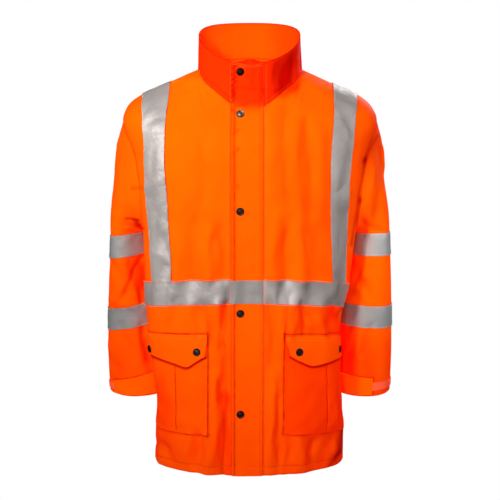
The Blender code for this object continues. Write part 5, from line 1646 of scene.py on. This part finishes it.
def studio():
    """Pale floor, soft light and the camera at the photograph's angle."""
    world = bpy.data.worlds.new("studio")
    bpy.context.scene.world = world
    world.use_nodes = True
    tree = world.node_tree
    back, white = tree.nodes["Background"], tree.nodes.new("ShaderNodeBackground")
    for light, strength in ((back, WORLD_LIGHT), (white, 1.0)):
        light.inputs["Color"].default_value = (1, 1, 1, 1)
        light.inputs["Strength"].default_value = strength
    rays = tree.nodes.new("ShaderNodeLightPath")
    either = tree.nodes.new("ShaderNodeMixShader")
    for source, into in (
        (rays.outputs["Is Camera Ray"], either.inputs["Fac"]),
        (back.outputs["Background"], either.inputs[1]),
        (white.outputs["Background"], either.inputs[2]),
        (either.outputs["Shader"], tree.nodes["World Output"].inputs["Surface"]),
    ):
        tree.links.new(source, into)
    for name, place, aim, size, spread, power in LIGHTS:
        data = bpy.data.lights.new(name, "AREA")
        data.shape, data.size, data.energy = "DISK", size, power
        data.spread = math.radians(spread)
        lamp = placed(name, data)
        lamp.location = place
        lamp.rotation_euler = (Vector(aim) - Vector(place)).to_track_quat("-Z", "Y").to_euler()
    turn = np.arange(96) * math.pi / 48
    ring = np.array([FLOOR_RADIUS * np.cos(turn), FLOOR_RADIUS * np.sin(turn), FLOOR_Z + 0 * turn]).T
    floor = placed("floor", mesh_of("floor", ring, [tuple(range(96))]))
    floor.data.materials.append(FINISHES["floor"])
    data = bpy.data.cameras.new("camera")
    data.sensor_width, data.lens = SENSOR, SENSOR * FOCAL
    data.clip_start, data.clip_end = 0.05, 50
    camera = placed("camera", data)
    camera.location = (
        0, -DISTANCE * math.cos(TILT), TARGET + DISTANCE * math.sin(TILT))
    camera.rotation_euler = (math.pi / 2 - TILT, 0, 0)
    bpy.context.scene.camera = camera
    bpy.context.scene.view_settings.view_transform = "Standard"
    bpy.context.scene.view_settings.look = "None"


def sew(body, sleeves, collar, flaps, face):
    """The lines of stitching that the photo shows, and the same on the hidden sides."""
    lines = []
    for side, way in SIDES.items():
        front, back = body[side, "front"], body[side, "back"]
        lines.append(path_on(front, "row", 1, 1, LAST_COL))
        lines.append(path_on(back, "row", 1, 0, LAST_COL))
        lines.append(path_on(front, "row", LAST_ROW - 0.35, 1, LAST_COL))
        for col, turn in zip(POCKET_COLS, (way, -way)):
            edge = path_on(front, "col", col, 3, 9.7, GAP + WALL)
            lines += [shifted(edge, turn * amount) for amount in (0.002, 0.008)]
    for grid in sleeves.values():
        for row in (len(SLEEVE["z"]) + SLEEVE_HEAD_ROWS - 1.9, 0.3):
            lines.append(path_on(grid, "row", row, 0, ROUND_SLEEVE))
    for rise in (0.35, 0.12, COLLAR_ROWS - 0.2):
        lines.append(path_on(collar, "row", rise, 1.2, 18.8))
    stitches("thread_body", lines, "thread")
    points, out = face
    top = [shifted((points[-1], out[-1]), amount) for amount in (0.0010, 0.0050)]
    stitches("thread_rim", top, "thread_light", pitch=0.0034, length=0.0031, thick=0.0006)
    lines = [
        shifted((points[:, col], out[:, col]), amount)
        for col, amount in ((0, -0.0018), (-1, 0.0018), (-1, 0.0072))
    ]
    for inner, n, shares, cols in flaps.values():
        grid = (inner + POCKET_FLAP_WALL * n)[::-1], n[::-1], shares[::-1], cols
        low, high = cols[0], cols[-1]
        for share, edge in ((0.03, 0.06), (0.14, 0.06), (0.955, 0.08)):
            lines.append(path_on(grid, "row", share, low + edge, high - edge))
        for col in (low + 0.08, high - 0.06):
            lines.append(path_on(grid, "col", col, 0.04, 0.955))
    stitches("thread_trim", lines, "thread_light")
    lines = []
    lift = GAP + TAPE_WALL + 0.0004
    for side, way in SIDES.items():
        front, back = body[side, "front"], body[side, "back"]
        inwards = (0.0022 * way, -0.0022 * way)
        for row, d in zip(WAIST_ROWS, inwards):
            lines.append(shifted(path_on(front, "row", row, 1, LAST_COL, lift), d))
            lines.append(shifted(path_on(back, "row", row, 0, LAST_COL, lift), -d))
        for grid in (front, back):
            for col, d in zip(BRACE_COLS, inwards):
                lines.append(shifted(path_on(grid, "col", col, WAIST_ROWS[1], LAST_ROW, lift), d))
    for grid in sleeves.values():
        for rings in SLEEVE_TAPES.values():
            for k, d in zip(rings, (0.08, -0.08)):
                lines.append(path_on(grid, "row", SLEEVE_HEAD_ROWS + k + d, 0, ROUND_SLEEVE, lift))
    stitches("thread_tape", lines, "thread_pale", pitch=0.0036, length=0.0028, thick=0.00055)


# Looks that several finishes share. The glow is a painted glow, and the shade colour and deep colour are
# colours of painted shade
HOT = (1.0, 0.2, 0.01)
CLOTH = {"rough": (0.6, 0.8), "weave": (1100, 0.25), "sheen": 0.05, "painted_glow": 0.6, "shine": 0.08,
         "tint": HOT, "shade_colour": (0.32, 0.0010, 0.0001)}
RED_SHADED_CLOTH = {**CLOTH, "deep": (0.62, 0.026, 0.0003)}
TAPE = {"rough": (0.42, 0.58), "weave": (900, 0.2), "metal": 0.25, "grain": 0.45, "shine": 0.4}
DULL = {"rough": (0.6, 0.8)}
THREAD = {**DULL, "painted_glow": 0.4, "shine": 0.1}
# The name of each finish, its colour, its darker colour and its looks
KINDS = {
    "cloth": ("hi_vis_cloth", (0.55, 0.122, 0.0005), (0.55, 0.100, 0.0003), RED_SHADED_CLOTH),
    "trim": ("hi_vis_trim", (0.55, 0.116, 0.0005), (0.55, 0.095, 0.0003), RED_SHADED_CLOTH),
    # The tab is a lighter copy of the cloth: painted light where it stands out
    "tab": ("hi_vis_tab_painted_light", (0.58, 0.150, 0.0005), (0.57, 0.128, 0.0003), CLOTH),
    "tape": ("reflective_tape", (0.43, 0.385, 0.365), (0.33, 0.295, 0.28), TAPE),
    # Darker copies of the tape on the flap and the sleeves: painted shade
    "tape_dark": ("reflective_tape_flap_painted_shade", (0.33, 0.30, 0.285), (0.25, 0.225, 0.215), TAPE),
    "tape_sleeve": ("reflective_tape_sleeve_painted_shade", (0.375, 0.37, 0.36), (0.285, 0.275, 0.27),
                    {**TAPE, "rough": (0.45, 0.6), "metal": 0.15}),
    "zip": ("zip_moulding", (0.5, 0.05, 0.001), (0.45, 0.04, 0.001),
            {"rough": (0.4, 0.5), "shine": 0.15, "painted_glow": 0.3, "tint": HOT}),
    "loop": ("loop_patch", (0.85, 0.18, 0.075), (0.75, 0.14, 0.05),
             {"rough": (0.85, 0.95), "sheen": 0.1, "grain": 0.8, "painted_glow": 0.45, "shine": 0.1}),
    "cap": ("gunmetal", (0.017, 0.005, 0.004), (0.010, 0.003, 0.003),
            {"rough": (0.35, 0.48), "metal": 0.2, "shine": 0.25, "grain": 0.05}),
    "cap_bright": ("gunmetal_worn", (0.16, 0.14, 0.13), (0.10, 0.09, 0.08),
                   {"rough": (0.4, 0.5), "metal": 1.0, "grain": 0.05}),
    "cap_black": ("black_enamel", (0.008, 0.0010, 0.0010), (0.005, 0.0006, 0.0006),
                  {"rough": (0.45, 0.6), "shine": 0.05, "grain": 0.05}),
    "thread": ("thread_orange", (1.0, 0.16, 0.01), (0.95, 0.11, 0.005), THREAD),
    "thread_light": ("thread_light_orange", (1.0, 0.26, 0.05), (1.0, 0.2, 0.03), THREAD),
    "thread_pale": ("thread_peach", (0.95, 0.70, 0.60), (0.85, 0.58, 0.48), DULL),
    "floor": ("pale_floor", (0.82, 0.82, 0.82), (0.8, 0.8, 0.8), {**DULL, "grain": 0.02}),
}
for kind, (name, base, dark, looks) in KINDS.items():
    FINISHES[kind] = finish(name, base, dark, **looks)

studio()
plain_body = smooth_body()
body = creased_body(plain_body)
sleeves = {side: fine_sleeve(side, body, plain_body) for side in SIDES}
neck = neck_ring(body)
collar, plain = (fine_collar(*neck, arch) for arch in (COLLAR_ARCH, FLAP_DIP))
dress_body(body)
dress_sleeves(sleeves)
face = dress_closure(body, collar, plain)
dress_tapes(body)
flaps = dress_pockets(body)
dress_snaps(face, flaps)
sew(body, sleeves, collar, flaps, face)
